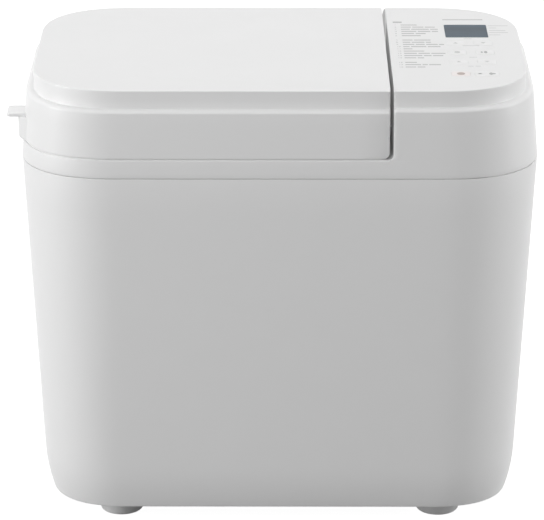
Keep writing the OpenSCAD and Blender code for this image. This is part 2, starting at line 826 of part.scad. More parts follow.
module lid_inner_cover() in_frame() color(aluminium) {
    difference() {
        slab(cover_w, cover_d, cover_r, cover_z, cover_z + cover_t, oven_x);
        translate([oven_x, 0, 0])
            at_corners(cover_post_x, cover_post_y) post(screw_r, cover_z - cut_over, cover_z + cover_t + cut_over);
        for (i = [-2 : 2])
            slab(steam_slot_w, 20, steam_slot_w / 2 - 0.2, cover_z - cut_over, cover_z + cover_t + cut_over,
                oven_x + i * steam_pitch, duct_y0 + duct_t + 13);
    }
}

module lid_seal() in_frame() color(dark) {
    w = oven_w + 2 * (oven_t + seal_in);
    d = oven_d + 2 * (oven_t + seal_in);
    r = oven_r + oven_t + seal_in;
    difference() {
        slab(w + 2 * seal_w, d + 2 * seal_w, r + seal_w, deck_z + skirt_gap, cover_z, oven_x);
        slab(w, d, r, deck_z, cover_z + cut_over, oven_x);
    }
}

duct_y0 = 55;
duct_y1 = upper_at(lid_z0)[1] - housing_t - 1;

module steam_duct() in_frame() color(pale) {
    z0 = cover_z + cover_t;
    difference() {
        block(oven_x - duct_w / 2, oven_x + duct_w / 2, duct_y0, duct_y1, z0, z0 + duct_h);
        block(oven_x - duct_w / 2 + duct_t, oven_x + duct_w / 2 - duct_t, duct_y0 + duct_t, duct_y1 + cut_over,
            z0 - cut_over, z0 + duct_h - duct_t);
    }
}

module lid_screws() in_frame() color(steel) {
    translate([oven_x, 0, 0]) at_corners(cover_post_x, cover_post_y) screw(cover_z, cover_t + lid_screw_l);
}

// ---- hinge ----------------------------------------------------------------------------

// An arm leaves the lid low down, passes into the panel's housing and rises to the pin.
module hinge_arms() in_frame() color(steel) {
    inside = lid_x1 - housing_t;
    foot_x0 = oven_x + cover_w / 2 + 1;
    for (y = [-1, 1]) translate([0, y * arm_y, 0]) difference() {
        union() {
            block(foot_x0, pin_x + arm_t / 2, -arm_w / 2, arm_w / 2, bar_z0, bar_z0 + bar_t);
            block(inside - arm_t, inside, -arm_w / 2, arm_w / 2, bar_z0, bar_z0 + 3 * bar_t);
            block(pin_x - arm_t / 2, pin_x + arm_t / 2, -arm_w / 2, arm_w / 2, bar_z0, pin_z);
            bar_y(eye_r, pin_x, -arm_w / 2, arm_w / 2, pin_z);
        }
        bar_y(pin_r + run_gap, pin_x, -arm_w, arm_w, pin_z);
    }
}

module hinge_pins() in_frame() color(steel) {
    reach = arm_w / 2 + ear_gap + ear_t;
    for (y = [-1, 1]) bar_y(pin_r, pin_x, y * arm_y - reach - 1, y * arm_y + reach + 1, pin_z);
}

bracket_l = 16;         // from the pin to the bracket's back
bracket_down = 10;      // from the pin to the bracket's lower edge

module hinge_brackets() in_frame() color(steel) {
    inner = arm_w / 2 + ear_gap;
    x1 = pin_x + bracket_l;
    for (y = [-1, 1]) translate([0, y * arm_y, 0]) difference() {
        union() {
            for (side = [-1, 1]) {
                y0 = side > 0 ? inner : -inner - ear_t;
                block(pin_x - eye_r, x1, y0, y0 + ear_t, pin_z - bracket_down, ceiling_z);
            }
            block(x1 - ear_t, x1, -inner - eps, inner + eps, pin_z - bracket_down, ceiling_z);
        }
        bar_y(pin_r, pin_x, -3 * arm_w, 3 * arm_w, pin_z);
    }
}

// ---- oven -----------------------------------------------------------------------------

sensor_y = 50;
sensor_z = floor_z + sensor_up;
sensor_r = 3;
heater_x = oven_w / 2 - heater_in;
heater_y = oven_d / 2 - heater_in;
heater_out = oven_x + oven_w / 2 + oven_t + shield_gap - 2;

module oven_chamber() in_frame() color(steel) {
    wall = oven_t;
    difference() {
        union() {
            slab(oven_w + 2 * wall, oven_d + 2 * wall, oven_r + wall, oven_z0, oven_top, oven_x);
            slab(oven_w + 2 * oven_rim, oven_d + 2 * oven_rim, oven_r + oven_rim, oven_top - wall, oven_top, oven_x);
        }
        slab(oven_w, oven_d, oven_r, floor_z, oven_top + cut_over, oven_x);
        post(neck_r, oven_z0 - cut_over, floor_z + cut_over, oven_x);
        for (y = [-1, 1])
            bar_x(heater_r, oven_x + oven_w / 2 - cut_over, oven_x + oven_w / 2 + 3, y * heater_ends / 2, heater_z);
        bar_x(sensor_r, oven_x + oven_w / 2 - cut_over, oven_x + oven_w / 2 + 3, sensor_y, sensor_z);
    }
}

// A quarter bend of the heater's rod about x, y, turned from angle a.
module heater_quarter(x, y, a, r) {
    translate([x, y, 0]) rotate([0, 0, a]) rotate_extrude(angle = 90) translate([r, 0]) circle(heater_r);
}

module heating_element() in_frame() color(dark) translate([oven_x, 0, heater_z]) {
    b = heater_bend;
    e = heater_ends / 2;
    end_bend = 2 * heater_r + 1;
    bar_y(heater_r, -heater_x, -(heater_y - b), heater_y - b, 0);
    for (s = [-1, 1]) {
        bar_x(heater_r, -(heater_x - b), heater_x - b, s * heater_y, 0);
        heater_quarter(-(heater_x - b), s * (heater_y - b), s > 0 ? 90 : 180, b);
        heater_quarter(heater_x - b, s * (heater_y - b), s > 0 ? 0 : 270, b);
        y0 = min(s * (e + end_bend), s * (heater_y - b));
        y1 = max(s * (e + end_bend), s * (heater_y - b));
        bar_y(heater_r, heater_x, y0, y1, 0);
        heater_quarter(heater_x + end_bend, s * (e + end_bend), s > 0 ? 180 : 90, end_bend);
        bar_x(heater_r, heater_x + end_bend, heater_out - oven_x, s * e, 0);
    }
}

clip_x = oven_w * 0.21;  // from the oven's middle to a clip
clip_w = 8;
clip_lip = 2;           // what a clip has on each side of the heater's rod

module heater_clips() in_frame() color(steel) translate([oven_x, 0, 0]) {
    reach = heater_r + clip_lip;
    for (x = [-1, 1], s = [-1, 1]) translate([x * clip_x, 0, 0]) difference() {
        block(-clip_w / 2, clip_w / 2, s * heater_y - reach, s * heater_y + reach, floor_z, heater_z);
        bar_x(heater_r, -clip_w, clip_w, s * heater_y, heater_z);
    }
}

module temperature_sensor() in_frame() color(steel) {
    wall_x = oven_x + oven_w / 2;
    bar_x(sensor_r, wall_x - 12, wall_x + oven_t + 6, sensor_y, sensor_z);
    translate([wall_x + oven_t, sensor_y, sensor_z]) rotate([0, 90, 0]) cylinder(r = 6, h = 3, $fn = 6);
}

module heat_shield() in_frame() color(steel) {
    half = oven_d / 2 - shield_in;
    foot_y1 = frame_y - shield_in;
    block(shield_x, shield_x + shield_t, -half, half, frame_top, oven_top - shield_down);
    block(shield_x, shield_x + shield_foot, -foot_y1, foot_y1, frame_top, frame_top + shield_t);
}

module pan_seat() in_frame() color(aluminium) {
    difference() {
        union() {
            post(seat_r, floor_z, floor_z + seat_floor_t, oven_x);
            tube(seat_r, seat_r - seat_t, floor_z, floor_z + seat_h, oven_x);
        }
        post(neck_r, floor_z - cut_over, floor_z + seat_h, oven_x);
    }
}

// ---- bread pan ------------------------------------------------------------------------

// The pan's outline drawn in by a distance, from z0 to z1.
module pan_layer(by, z0, z1) {
    slab(pan_w - 2 * by, pan_d - 2 * by, pan_r - by, z0, z1, oven_x);
}

module pan_wall() {
    inner_floor = pan_z0 + pan_floor_t;
    difference() {
        union() {
            pan_layer(pan_step, pan_z0, pan_z0 + 2 * pan_step);
            pan_layer(0, pan_z0 + pan_step, pan_rim_z);
            pan_layer(-rim_w, pan_rim_z - rim_h, pan_rim_z);
        }
        pan_layer(pan_t + pan_step, inner_floor, inner_floor + 2 * pan_step);
        pan_layer(pan_t, inner_floor + pan_step, pan_rim_z + cut_over);
    }
}

module bread_pan() in_frame() color(non_stick) {
    difference() {
        union() {
            pan_wall();
            tube(pan_foot_r, pan_foot_r - 3, floor_z + seat_floor_t + 0.3, pan_z0 + eps, oven_x);
            post(bush_r + 3.5, pan_z0 + eps, boss_top, oven_x);
            for (s = [-1, 1])
                bar_x(7, s > 0 ? oven_x + pan_w / 2 - 2 : oven_x - handle_x + 0.3,
                    s > 0 ? oven_x + handle_x - 0.3 : oven_x - pan_w / 2 + 2, 0, pivot_z);
        }
        post(bush_r, pan_z0 - cut_over, boss_top + cut_over, oven_x);
        for (s = [-1, 1])
            bar_x(rivet_r, s > 0 ? oven_x + handle_x - 4 : oven_x - handle_x - 1,
                s > 0 ? oven_x + handle_x + 1 : oven_x - handle_x + 4, 0, pivot_z);
    }
}

module pan_bush() in_frame() color(aluminium) {
    difference() {
        union() {
            post(bush_r + 3, pan_z0 - bush_flange_t, pan_z0, oven_x);
            post(bush_r, pan_z0 - eps, boss_top, oven_x);
        }
        post(shaft_r + run_gap, pan_z0 - 3, boss_top + cut_over, oven_x);
    }
}

// The shaft's upper end has a flat, which turns the blade.
module shaft_profile(gap) {
    difference() {
        circle(shaft_r + gap);
        translate([-2 * shaft_r, shaft_r * 0.5 + gap]) square([4 * shaft_r, 2 * shaft_r]);
    }
}

module pan_shaft() in_frame() color(steel) {
    post(shaft_r, dog_mid, blade_z0, oven_x);
    translate([oven_x, 0, blade_z0 - eps]) linear_extrude(shaft_top - blade_z0) shaft_profile(0);
}

module pan_coupling() in_frame() color(aluminium) {
    difference() {
        union() {
            post(pan_hub_r, dog_mid, dog_mid + dog_h - dog_end, oven_x);
            block(oven_x - pan_dog_w, oven_x + pan_dog_w, -pan_dog_l, pan_dog_l,
                dog_mid, dog_mid + dog_h - dog_end);
        }
        post(shaft_r, dog_mid - cut_over, dog_mid + dog_h + cut_over, oven_x);
    }
}

module kneading_blade() in_frame() color(non_stick) {
    hub_r = shaft_r + hub_wall;
    difference() {
        union() {
            post(hub_r, blade_z0, shaft_top + 3, oven_x);
            translate([oven_x, blade_t / 2, blade_z0]) rotate([90, 0, 0]) linear_extrude(blade_t)
                polygon([[0, 0.5], [blade_l, 0.5], [blade_l, blade_h * 0.45], [blade_l * 0.8, blade_h * 0.8],
                    [blade_l * 0.45, blade_h], [0, blade_h]]);
        }
        translate([oven_x, 0, blade_z0 - cut_over])
            linear_extrude(shaft_top - blade_z0 + cut_over) shaft_profile(run_gap);
    }
}

// The handle lies folded to the front, its grip on the rim.
module handle_arm(x0, x1) {
    difference() {
        union() {
            translate([x0, 0, 0]) rotate([90, 0, 90]) linear_extrude(x1 - x0) {
                translate([0, pivot_z]) circle(rivet_r + 4);
                translate([-handle_y, pivot_z + grip_up]) circle(grip_r - 0.5);
                polygon([
                    [-1, pivot_z + 5],
                    [1, pivot_z - 5],
                    [-handle_y + 0.5, pivot_z + grip_up - 4],
                    [-handle_y - 0.5, pivot_z + grip_up + 4]
                ]);
            }
        }
        bar_x(rivet_r + run_gap, x0 - cut_over, x1 + cut_over, 0, pivot_z);
    }
}

module pan_handle() in_frame() color(steel) {
    handle_arm(oven_x - handle_x - handle_t, oven_x - handle_x);
    handle_arm(oven_x + handle_x, oven_x + handle_x + handle_t);
}

module handle_grip() in_frame() color(dark) {
    bar_x(grip_r, oven_x - handle_x, oven_x + handle_x, -handle_y, pivot_z + grip_up);
}

module handle_rivets() in_frame() color(steel) {
    for (s = [-1, 1]) mirror_about_oven(s) {
        bar_x(rivet_r, handle_x - 4, handle_x + handle_t + 0.4, 0, pivot_z);
        bar_x(rivet_r + 2.5, handle_x + handle_t + 0.3, handle_x + handle_t + 1.8, 0, pivot_z);
    }
}

module mirror_about_oven(s) {
    translate([oven_x, 0, 0]) mirror([s < 0 ? 1 : 0, 0, 0]) children();
}

// ---- drive ----------------------------------------------------------------------------

frame_side = 4;         // from the large pulley's rim to the frame's left end
leg_in = 8;             // from the frame's edges to a leg's axis
middle_leg = 34;        // from the large pulley's rim to the middle legs
pinion_gap = 5;         // round the motor's pulley, in the frame's hole

module drive_frame() in_frame() color(steel) {
    x0 = oven_x - pulley_r - frame_side;
    x1 = motor_x + motor_w / 2 + leg_in;
    leg_y = frame_y - leg_in;
    difference() {
        union() {
            block(x0, x1, -frame_y, frame_y, frame_z0, frame_top);
            for (x = [x0 + leg_in, oven_x + pulley_r + middle_leg, x1 - leg_in], s = [-1, 1])
                post(leg_r, base_top, frame_z0 + eps, x, s * leg_y);
        }
        post(bearing_r + 1, frame_z0 - cut_over, frame_top + cut_over, oven_x);
        post(pinion_r + pinion_gap, frame_z0 - cut_over, frame_top + cut_over, motor_x);
        translate([motor_x, 0, 0])
            at_corners(motor_bolt_xy, motor_bolt_xy) post(bolt_r, frame_z0 - cut_over, frame_top + cut_over);
    }
}

module bearing_housing() in_frame() color(aluminium) {
    difference() {
        union() {
            post(housing_r + 11, frame_top, frame_top + 4, oven_x);
            post(housing_r, frame_top, oven_z0, oven_x);
            post(neck_r, oven_z0 - eps, neck_top, oven_x);
        }
        post(bearing_r, frame_top - cut_over, neck_top + cut_over, oven_x);
    }
}

module shaft_bearings() in_frame() color("goldenrod") {
    tube(bearing_r, shaft_r + run_gap, frame_top, frame_top + bearing_l, oven_x);
    tube(bearing_r, shaft_r + run_gap, neck_top - bearing_l, neck_top, oven_x);
}

module drive_shaft() in_frame() color(steel) {
    post(shaft_r, pulley_z0 - 3, dog_z0 + dog_h, oven_x);
}

module drive_coupling() in_frame() color(aluminium) {
    difference() {
        union() {
            post(neck_r, dog_z0, dog_z0 + dog_h, oven_x);
            for (s = [-1, 1])
                block(oven_x + (s > 0 ? 8 : -13), oven_x + (s > 0 ? 13 : -8), -3.5, 3.5,
                    dog_z0 + dog_h - 2, dog_mid + dog_h - dog_end);
        }
        post(shaft_r, dog_z0 - cut_over, dog_z0 + dog_h + cut_over, oven_x);
    }
}

// A pulley's half section: hub, web, and a rim with a lip on each side of the belt.
module pulley(r, bore, hub) {
    lip = (belt_t + 0.5);
    rotate_extrude() polygon([
        [bore, -3],
        [hub, -3],
        [hub, 2],
        [r - 4, 2],
        [r - 4, 0],
        [r + lip, 0],
        [r + lip, pulley_lip],
        [r, pulley_lip],
        [r, pulley_w - pulley_lip],
        [r + lip, pulley_w - pulley_lip],
        [r + lip, pulley_w],
        [r - 4, pulley_w],
        [r - 4, 6],
        [hub, 6],
        [hub, pulley_w + 1],
        [bore, pulley_w + 1]
    ]);
}

module drive_pulley() in_frame() color(dark) {
    difference() {
        translate([oven_x, 0, pulley_z0]) pulley(pulley_r, shaft_r, shaft_r + 6);
        for (a = [0 : 60 : 300]) translate([oven_x, 0, 0]) rotate([0, 0, a])
            post(7, pulley_z0, pulley_z0 + pulley_w, pulley_r * 0.56);
    }
}

module motor_pulley() in_frame() color(steel) {
    lip = belt_t + 0.5;
    translate([motor_x, 0, pulley_z0]) rotate_extrude() polygon([
        [motor_shaft_r, 0],
        [pinion_r + lip, 0],
        [pinion_r + lip, pulley_lip],
        [pinion_r, pulley_lip],
        [pinion_r, pulley_w - pulley_lip],
        [pinion_r + lip, pulley_w - pulley_lip],
        [pinion_r + lip, pulley_w],
        [motor_shaft_r, pulley_w]
    ]);
}

// The belt's band lies round both pulleys and runs straight between them.
module drive_belt() in_frame() color(dark) {
    span = motor_x - oven_x;
    lean = asin((pulley_r - pinion_r) / span);
    run = span * cos(lean);
    band_w = pulley_w - 2 * pulley_lip - 2 * belt_gap;
    lap = 0.4;              // how far a straight run enters each bend
    translate([oven_x, 0, pulley_z0 + pulley_lip + belt_gap]) {
        rotate([0, 0, 90 - lean]) rotate_extrude(angle = 180 + 2 * lean)
            translate([pulley_r + belt_gap, 0]) square([belt_t, band_w]);
        translate([span, 0, 0]) rotate([0, 0, lean - 90]) rotate_extrude(angle = 180 - 2 * lean)
            translate([pinion_r + belt_gap, 0]) square([belt_t, band_w]);
        for (s = [0, 1]) mirror([0, s, 0]) rotate([0, 0, -lean])
            translate([-lap, pulley_r + belt_gap, 0]) cube([run + 2 * lap, belt_t, band_w]);
    }
}

// ---- motor ----------------------------------------------------------------------------

module motor_core() in_frame() color(steel) {
    difference() {
        slab(motor_w, motor_w, 10, core_z0, core_z1, motor_x);
        post(rotor_r + rotor_gap, core_z0 - cut_over, core_z1 + cut_over, motor_x);
        translate([motor_x, 0, 0])
            at_corners(motor_bolt_xy, motor_bolt_xy) post(bolt_r, core_z0 - cut_over, core_z1 + cut_over);
    }
}

module motor_coils() in_frame() color([0.72, 0.40, 0.20]) {
    coil_h = 7;
    for (z = [core_z0 - coil_h, core_z1])
        tube(cap_r - 4, rotor_r + 2, z, z + coil_h, motor_x);
}

// One end cap, open upwards from z = 0, with a bearing boss in its middle.
module end_cap() {
    rotate_extrude() polygon([
        [motor_shaft_r + run_gap, 0],
        [cap_r, 0],
        [cap_r, cap_h],
        [cap_r - 3, cap_h],
        [cap_r - 3, 2],
        [9, 2],
        [9, 8],
        [motor_shaft_r + run_gap, 8]
    ]);
}

module motor_end_caps() in_frame() color(aluminium) translate([motor_x, 0, 0]) {
    translate([0, 0, frame_top]) end_cap();
    translate([0, 0, core_z1 + cap_h]) mirror([0, 0, 1]) end_cap();
}

module motor_rotor() in_frame() color(steel) {
    post(rotor_r, core_z0 + 2, core_z1 - 2, motor_x);
    post(motor_shaft_r, pulley_z0 - 1, core_z1 + cap_h - 3, motor_x);
}

module motor_spacers() in_frame() color(steel) translate([motor_x, 0, 0]) {
    at_corners(motor_bolt_xy, motor_bolt_xy) tube(bolt_r + 2.5, bolt_r, frame_top, core_z0);
}

module motor_bolts() in_frame() color(steel) translate([motor_x, 0, 0]) {
    at_corners(motor_bolt_xy, motor_bolt_xy) {
        post(bolt_r, frame_z0 - 4, core_z1 + eps);
        post(bolt_r * 1.8, core_z1, core_z1 + 3);
        translate([0, 0, frame_z0 - 2.5]) cylinder(r = bolt_r * 2, h = 2.5, $fn = 6);
    }
}

// ---- electrics ------------------------------------------------------------------------

power_x = shield_x + 5 + power_w / 2;
power_z = base_top + power_lift;
power_y = casing_at(power_z)[1] - power_in;
power_top = power_z + board_t;
power_post_x = power_w / 2 - 5;
power_post_y = power_d / 2 - 5;
board_post_r = 3;
post_bite = 5;          // how far a screw goes into a board's post

module power_board() in_frame() color(board_green) {
    difference() {
        block(power_x - power_w / 2, power_x + power_w / 2, power_y - power_d / 2, power_y + power_d / 2,
            power_z, power_top);
        translate([power_x, power_y, 0])
            at_corners(power_post_x, power_post_y) post(screw_r, power_z - cut_over, power_top + cut_over);
    }
}

transformer_w = 26;
transformer_d = 24;
transformer_h = 24;
yoke_h = 4;
relay_w = 13;
relay_d = 16;
relay_h = 15;

module transformer() in_frame() color(dark) {
    w = transformer_w;
    d = transformer_d;
    x = power_x - power_w / 2 + w;
    top = power_top + transformer_h;
    slab(w, d, 1, power_top, power_top + yoke_h, x, power_y);
    slab(w - 6, d, 1, power_top + yoke_h - eps, top - yoke_h, x, power_y);
    slab(w, d, 1, top - yoke_h - eps, top, x, power_y);
}

module relays() in_frame() color([0.15, 0.25, 0.55]) {
    for (i = [0, 1])
        slab(relay_w, relay_d, 1, power_top, power_top + relay_h, power_x + relay_w + i * (relay_w + 3), power_y);
}

capacitor_in = 32;      // from the casing's front to the capacitor's axis
capacitor_x = (shield_x + shield_t + foot_x - foot_stem_r) / 2;
capacitor_y = capacitor_in - casing_at(base_z)[1];
tag_x = 5;              // from the capacitor's axis to a tag
tag_h = 8;
clamp_lift = 10;
clamp_h = 10;
clamp_t = 1.5;
clamp_w = 10;
clamp_foot = 12;

module run_capacitor() in_frame() color(pale) {
    post(capacitor_r, base_top, base_top + capacitor_h, capacitor_x, capacitor_y);
    for (x = [-tag_x, tag_x])
        block(capacitor_x + x - 0.4, capacitor_x + x + 0.4, capacitor_y - 3, capacitor_y + 3,
            base_top + capacitor_h - eps, base_top + capacitor_h + tag_h);
}

module capacitor_clamp() in_frame() color(steel) {
    z0 = base_top + clamp_lift;
    side = capacitor_x - capacitor_r;
    y0 = capacitor_y - clamp_w / 2;
    tube(capacitor_r + clamp_t, capacitor_r, z0, z0 + clamp_h, capacitor_x, capacitor_y);
    block(side - clamp_foot, side - clamp_t * 0.6, y0, y0 + clamp_w, base_top, base_top + clamp_t);
    block(side - clamp_t * 1.6, side - clamp_t * 0.6, y0, y0 + clamp_w, base_top, z0 + clamp_t);
}

// ---- controls -------------------------------------------------------------------------

// Each key: x, y and width.
key_places = concat(
    [
        for (row = [0 : 2], col = [0, 1])
            [key_x0 + col * key_gap_x, key_y - row * key_gap_y, key_w]
    ],
    [
        [key_x0, -start_y, key_w],
        [key_x0 + key_gap_x - (stop_w - key_w) / 2, -start_y, stop_w]
    ]
);
board_d = body_d - board_front - board_back;
board_yc = (board_front - board_back) / 2;
board_post_x = board_w / 2 - 3.5;
board_post_y = board_d / 2 - 4;

module control_board_posts() {
    translate([panel_mid, board_yc, 0])
        at_corners(board_post_x, board_post_y) post(board_post_r, board_z1, ceiling_z + eps);
}

module control_board() in_frame() color(board_green) {
    difference() {
        block(panel_mid - board_w / 2, panel_mid + board_w / 2, board_yc - board_d / 2, board_yc + board_d / 2,
            board_z1 - board_t, board_z1);
        translate([panel_mid, board_yc, 0])
            at_corners(board_post_x, board_post_y)
                post(screw_r, board_z1 - board_t - cut_over, board_z1 + cut_over);
    }
}

module key_switches() in_frame() color(dark) {
    for (k = key_places) {
        block(k[0] - 3, k[0] + 3, k[1] - 3, k[1] + 3, board_z1, board_z1 + switch_h);
        post(1.7, board_z1 + switch_h - eps, board_z1 + switch_h + plunger_h, k[0], k[1]);
    }
}

module buzzer() in_frame() color(dark) {
    x = key_x0 + key_gap_x / 2;
    y = -(start_y + 2 * key_gap_y - key_y) / 2;
    tube(5, 1, board_z1, board_z1 + 5, x, y);
}

module lcd_module() in_frame() color([0.30, 0.36, 0.40]) {
    slab(lcd_w + 5, lcd_d + 5, 1, board_z1, ceiling_z - 1.1, panel_mid, lcd_y);
}

module lcd_window() in_frame() color([0.36, 0.42, 0.47]) {
    slab(lcd_w - 0.1, lcd_d - 0.1, 1, ceiling_z - eps, top_z - 0.2, panel_mid, lcd_y);
    slab(lcd_w + 5, lcd_d + 5, 1, ceiling_z - 1, ceiling_z, panel_mid, lcd_y);
}

// A key: a cap through the top face, a flange under it and a stem above its switch.
module key(i, tint) {
    k = key_places[i];
    flange_z1 = ceiling_z - key_gap;
    stem_z0 = board_z1 + switch_h + plunger_h + key_travel + 0.2;
    in_frame() color(tint) {
        slab(k[2], key_d, key_r, flange_z1 - eps, key_z1, k[0], k[1]);
        slab(k[2] + 2 * key_flange, key_d + 2 * key_flange, key_r, flange_z1 - 1, flange_z1, k[0], k[1]);
        post(2, stem_z0, flange_z1 - 1 + eps, k[0], k[1]);
    }
}

module key_course_up() key(0, pale);
module key_course_down() key(1, pale);
module key_size() key(2, pale);
module key_crust() key(3, pale);
module key_timer_up() key(4, pale);
module key_timer_down() key(5, pale);
module key_start() key(6, pale);
module key_stop() key(7, pale);

body_shell();
upper_housing();
base_plate();
rubber_feet();
case_screws();
cord_inlet();
lid_shell();
lid_inner_cover();
lid_seal();
steam_duct();
lid_screws();
hinge_arms();
hinge_pins();
hinge_brackets();
oven_chamber();
heating_element();
heater_clips();
temperature_sensor();
heat_shield();
pan_seat();
bread_pan();
pan_bush();
pan_shaft();
pan_coupling();
kneading_blade();
pan_handle();
handle_grip();
handle_rivets();
drive_frame();
bearing_housing();
shaft_bearings();
drive_shaft();
drive_coupling();
drive_pulley();
drive_belt();
motor_core();
motor_coils();
motor_end_caps();
motor_rotor();
motor_pulley();
motor_spacers();
motor_bolts();
power_board();
transformer();
relays();
run_capacitor();
capacitor_clamp();
control_board();
key_switches();
buzzer();
lcd_module();
lcd_window();
key_course_up();
key_course_down();
key_size();
key_crust();
key_timer_up();
key_timer_down();
key_start();
key_stop();
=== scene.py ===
import math
import bpy
import bmesh
from mathutils import Vector, Matrix


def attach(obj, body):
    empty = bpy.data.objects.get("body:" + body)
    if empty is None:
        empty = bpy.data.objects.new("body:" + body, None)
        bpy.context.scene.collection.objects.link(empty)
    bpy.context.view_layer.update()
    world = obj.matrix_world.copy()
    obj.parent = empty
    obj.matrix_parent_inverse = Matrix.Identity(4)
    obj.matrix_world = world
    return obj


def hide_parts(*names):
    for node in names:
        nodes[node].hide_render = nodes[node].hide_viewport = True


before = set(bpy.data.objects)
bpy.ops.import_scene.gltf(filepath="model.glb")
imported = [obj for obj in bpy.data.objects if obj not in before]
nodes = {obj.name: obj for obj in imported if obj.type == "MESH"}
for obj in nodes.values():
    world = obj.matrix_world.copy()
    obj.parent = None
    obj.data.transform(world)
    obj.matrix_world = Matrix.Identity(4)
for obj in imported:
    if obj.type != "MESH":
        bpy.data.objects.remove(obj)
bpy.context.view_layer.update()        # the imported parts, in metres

mm = 0.001
print("frame loaded:", len(nodes), "parts")


camera = {
    "lens": 218.88,              # mm
    "sensor": 36.0,              # mm
    "distance": 2643.2,          # mm, from the point looked at
    "pitch": 19.481,             # degrees down
    "yaw": -0.172,               # degrees
    "target": (-1.2, 0.0, 182.85),
    "farEnd": 100.0,             # m
}


def addCamera(c):
    pitch, yaw = math.radians(c["pitch"]), math.radians(c["yaw"])
    forward = Vector((math.sin(yaw) * math.cos(pitch), math.cos(yaw) * math.cos(pitch), -math.sin(pitch)))
    data = bpy.data.cameras.new("camera")
    data.sensor_width = c["sensor"]
    data.lens = c["lens"]
    data.clip_end = c["farEnd"]
    cam = bpy.data.objects.new("camera", data)
    cam.location = (Vector(c["target"]) - c["distance"] * forward) * mm
    cam.rotation_euler = forward.to_track_quat("-Z", "Y").to_euler()
    bpy.context.scene.collection.objects.link(cam)
    bpy.context.scene.camera = cam


addCamera(camera)


def addNode(tree, kind, values=None, **settings):
    # values are the inputs that hold a constant
    node = tree.nodes.new(kind)
    for key, setting in settings.items():
        setattr(node, key, setting)
    for key, value in (values or {}).items():
        node.inputs[key].default_value = value
    return node


def addNoise(tree, vector, scale, detail):
    noise = addNode(tree, "ShaderNodeTexNoise", {"Scale": scale, "Detail": detail})
    tree.links.new(vector, noise.inputs["Vector"])
    return noise.outputs["Fac"]


def addLengthwise(tree, vector, spec):
    # a grey that follows the piece from its front to its back; it carries painted light and painted shade
    apart = addNode(tree, "ShaderNodeSeparateXYZ")
    tree.links.new(vector, apart.inputs["Vector"])
    along = addNode(tree, "ShaderNodeMapRange",
                    {"From Min": spec["front"] * mm, "From Max": spec["back"] * mm})
    tree.links.new(apart.outputs["Y"], along.inputs["Value"])
    shade = addNode(tree, "ShaderNodeValToRGB")
    stops = shade.color_ramp.elements
    while len(stops) < len(spec["stops"]):
        stops.new(0.5)
    for stop, (at, level) in zip(stops, spec["stops"]):
        stop.position = at
        stop.color = (level, level, level, 1)
    tree.links.new(along.outputs["Result"], shade.inputs["Fac"])
    return shade.outputs["Color"]


def addSpecks(tree, vector, surface, specks):
    # small spots of another colour
    ramp = addNode(tree, "ShaderNodeValToRGB")
    ramp.color_ramp.elements[0].position = specks["above"]
    ramp.color_ramp.elements[1].position = specks["above"] + grain["speckEdge"]
    tree.links.new(addNoise(tree, vector, specks["scale"], grain["speckDetail"]), ramp.inputs["Fac"])
    spot = addNode(tree, "ShaderNodeMix", data_type="RGBA")
    spot.inputs["B"].default_value = list(specks["colour"]) + [1]
    tree.links.new(ramp.outputs["Color"], spot.inputs["Factor"])
    tree.links.new(surface, spot.inputs["A"])
    return spot.outputs["Result"]


def addWaves(tree, vector, height, waves):
    # straight bands on top of the fine grain
    bands = addNode(tree, "ShaderNodeTexWave", {"Scale": waves["scale"], "Distortion": waves["distortion"]},
                    bands_direction=waves["along"])
    tree.links.new(vector, bands.inputs["Vector"])
    both = addNode(tree, "ShaderNodeMath", operation="ADD")
    tree.links.new(bands.outputs["Fac"], both.inputs[0])
    tree.links.new(height, both.inputs[1])
    return both.outputs["Value"]


grain = {"patchDetail": 2, "fineDetail": 3, "speckDetail": 1, "speckEdge": 0.03, "smoothest": 0.02,
         "roughest": 1}


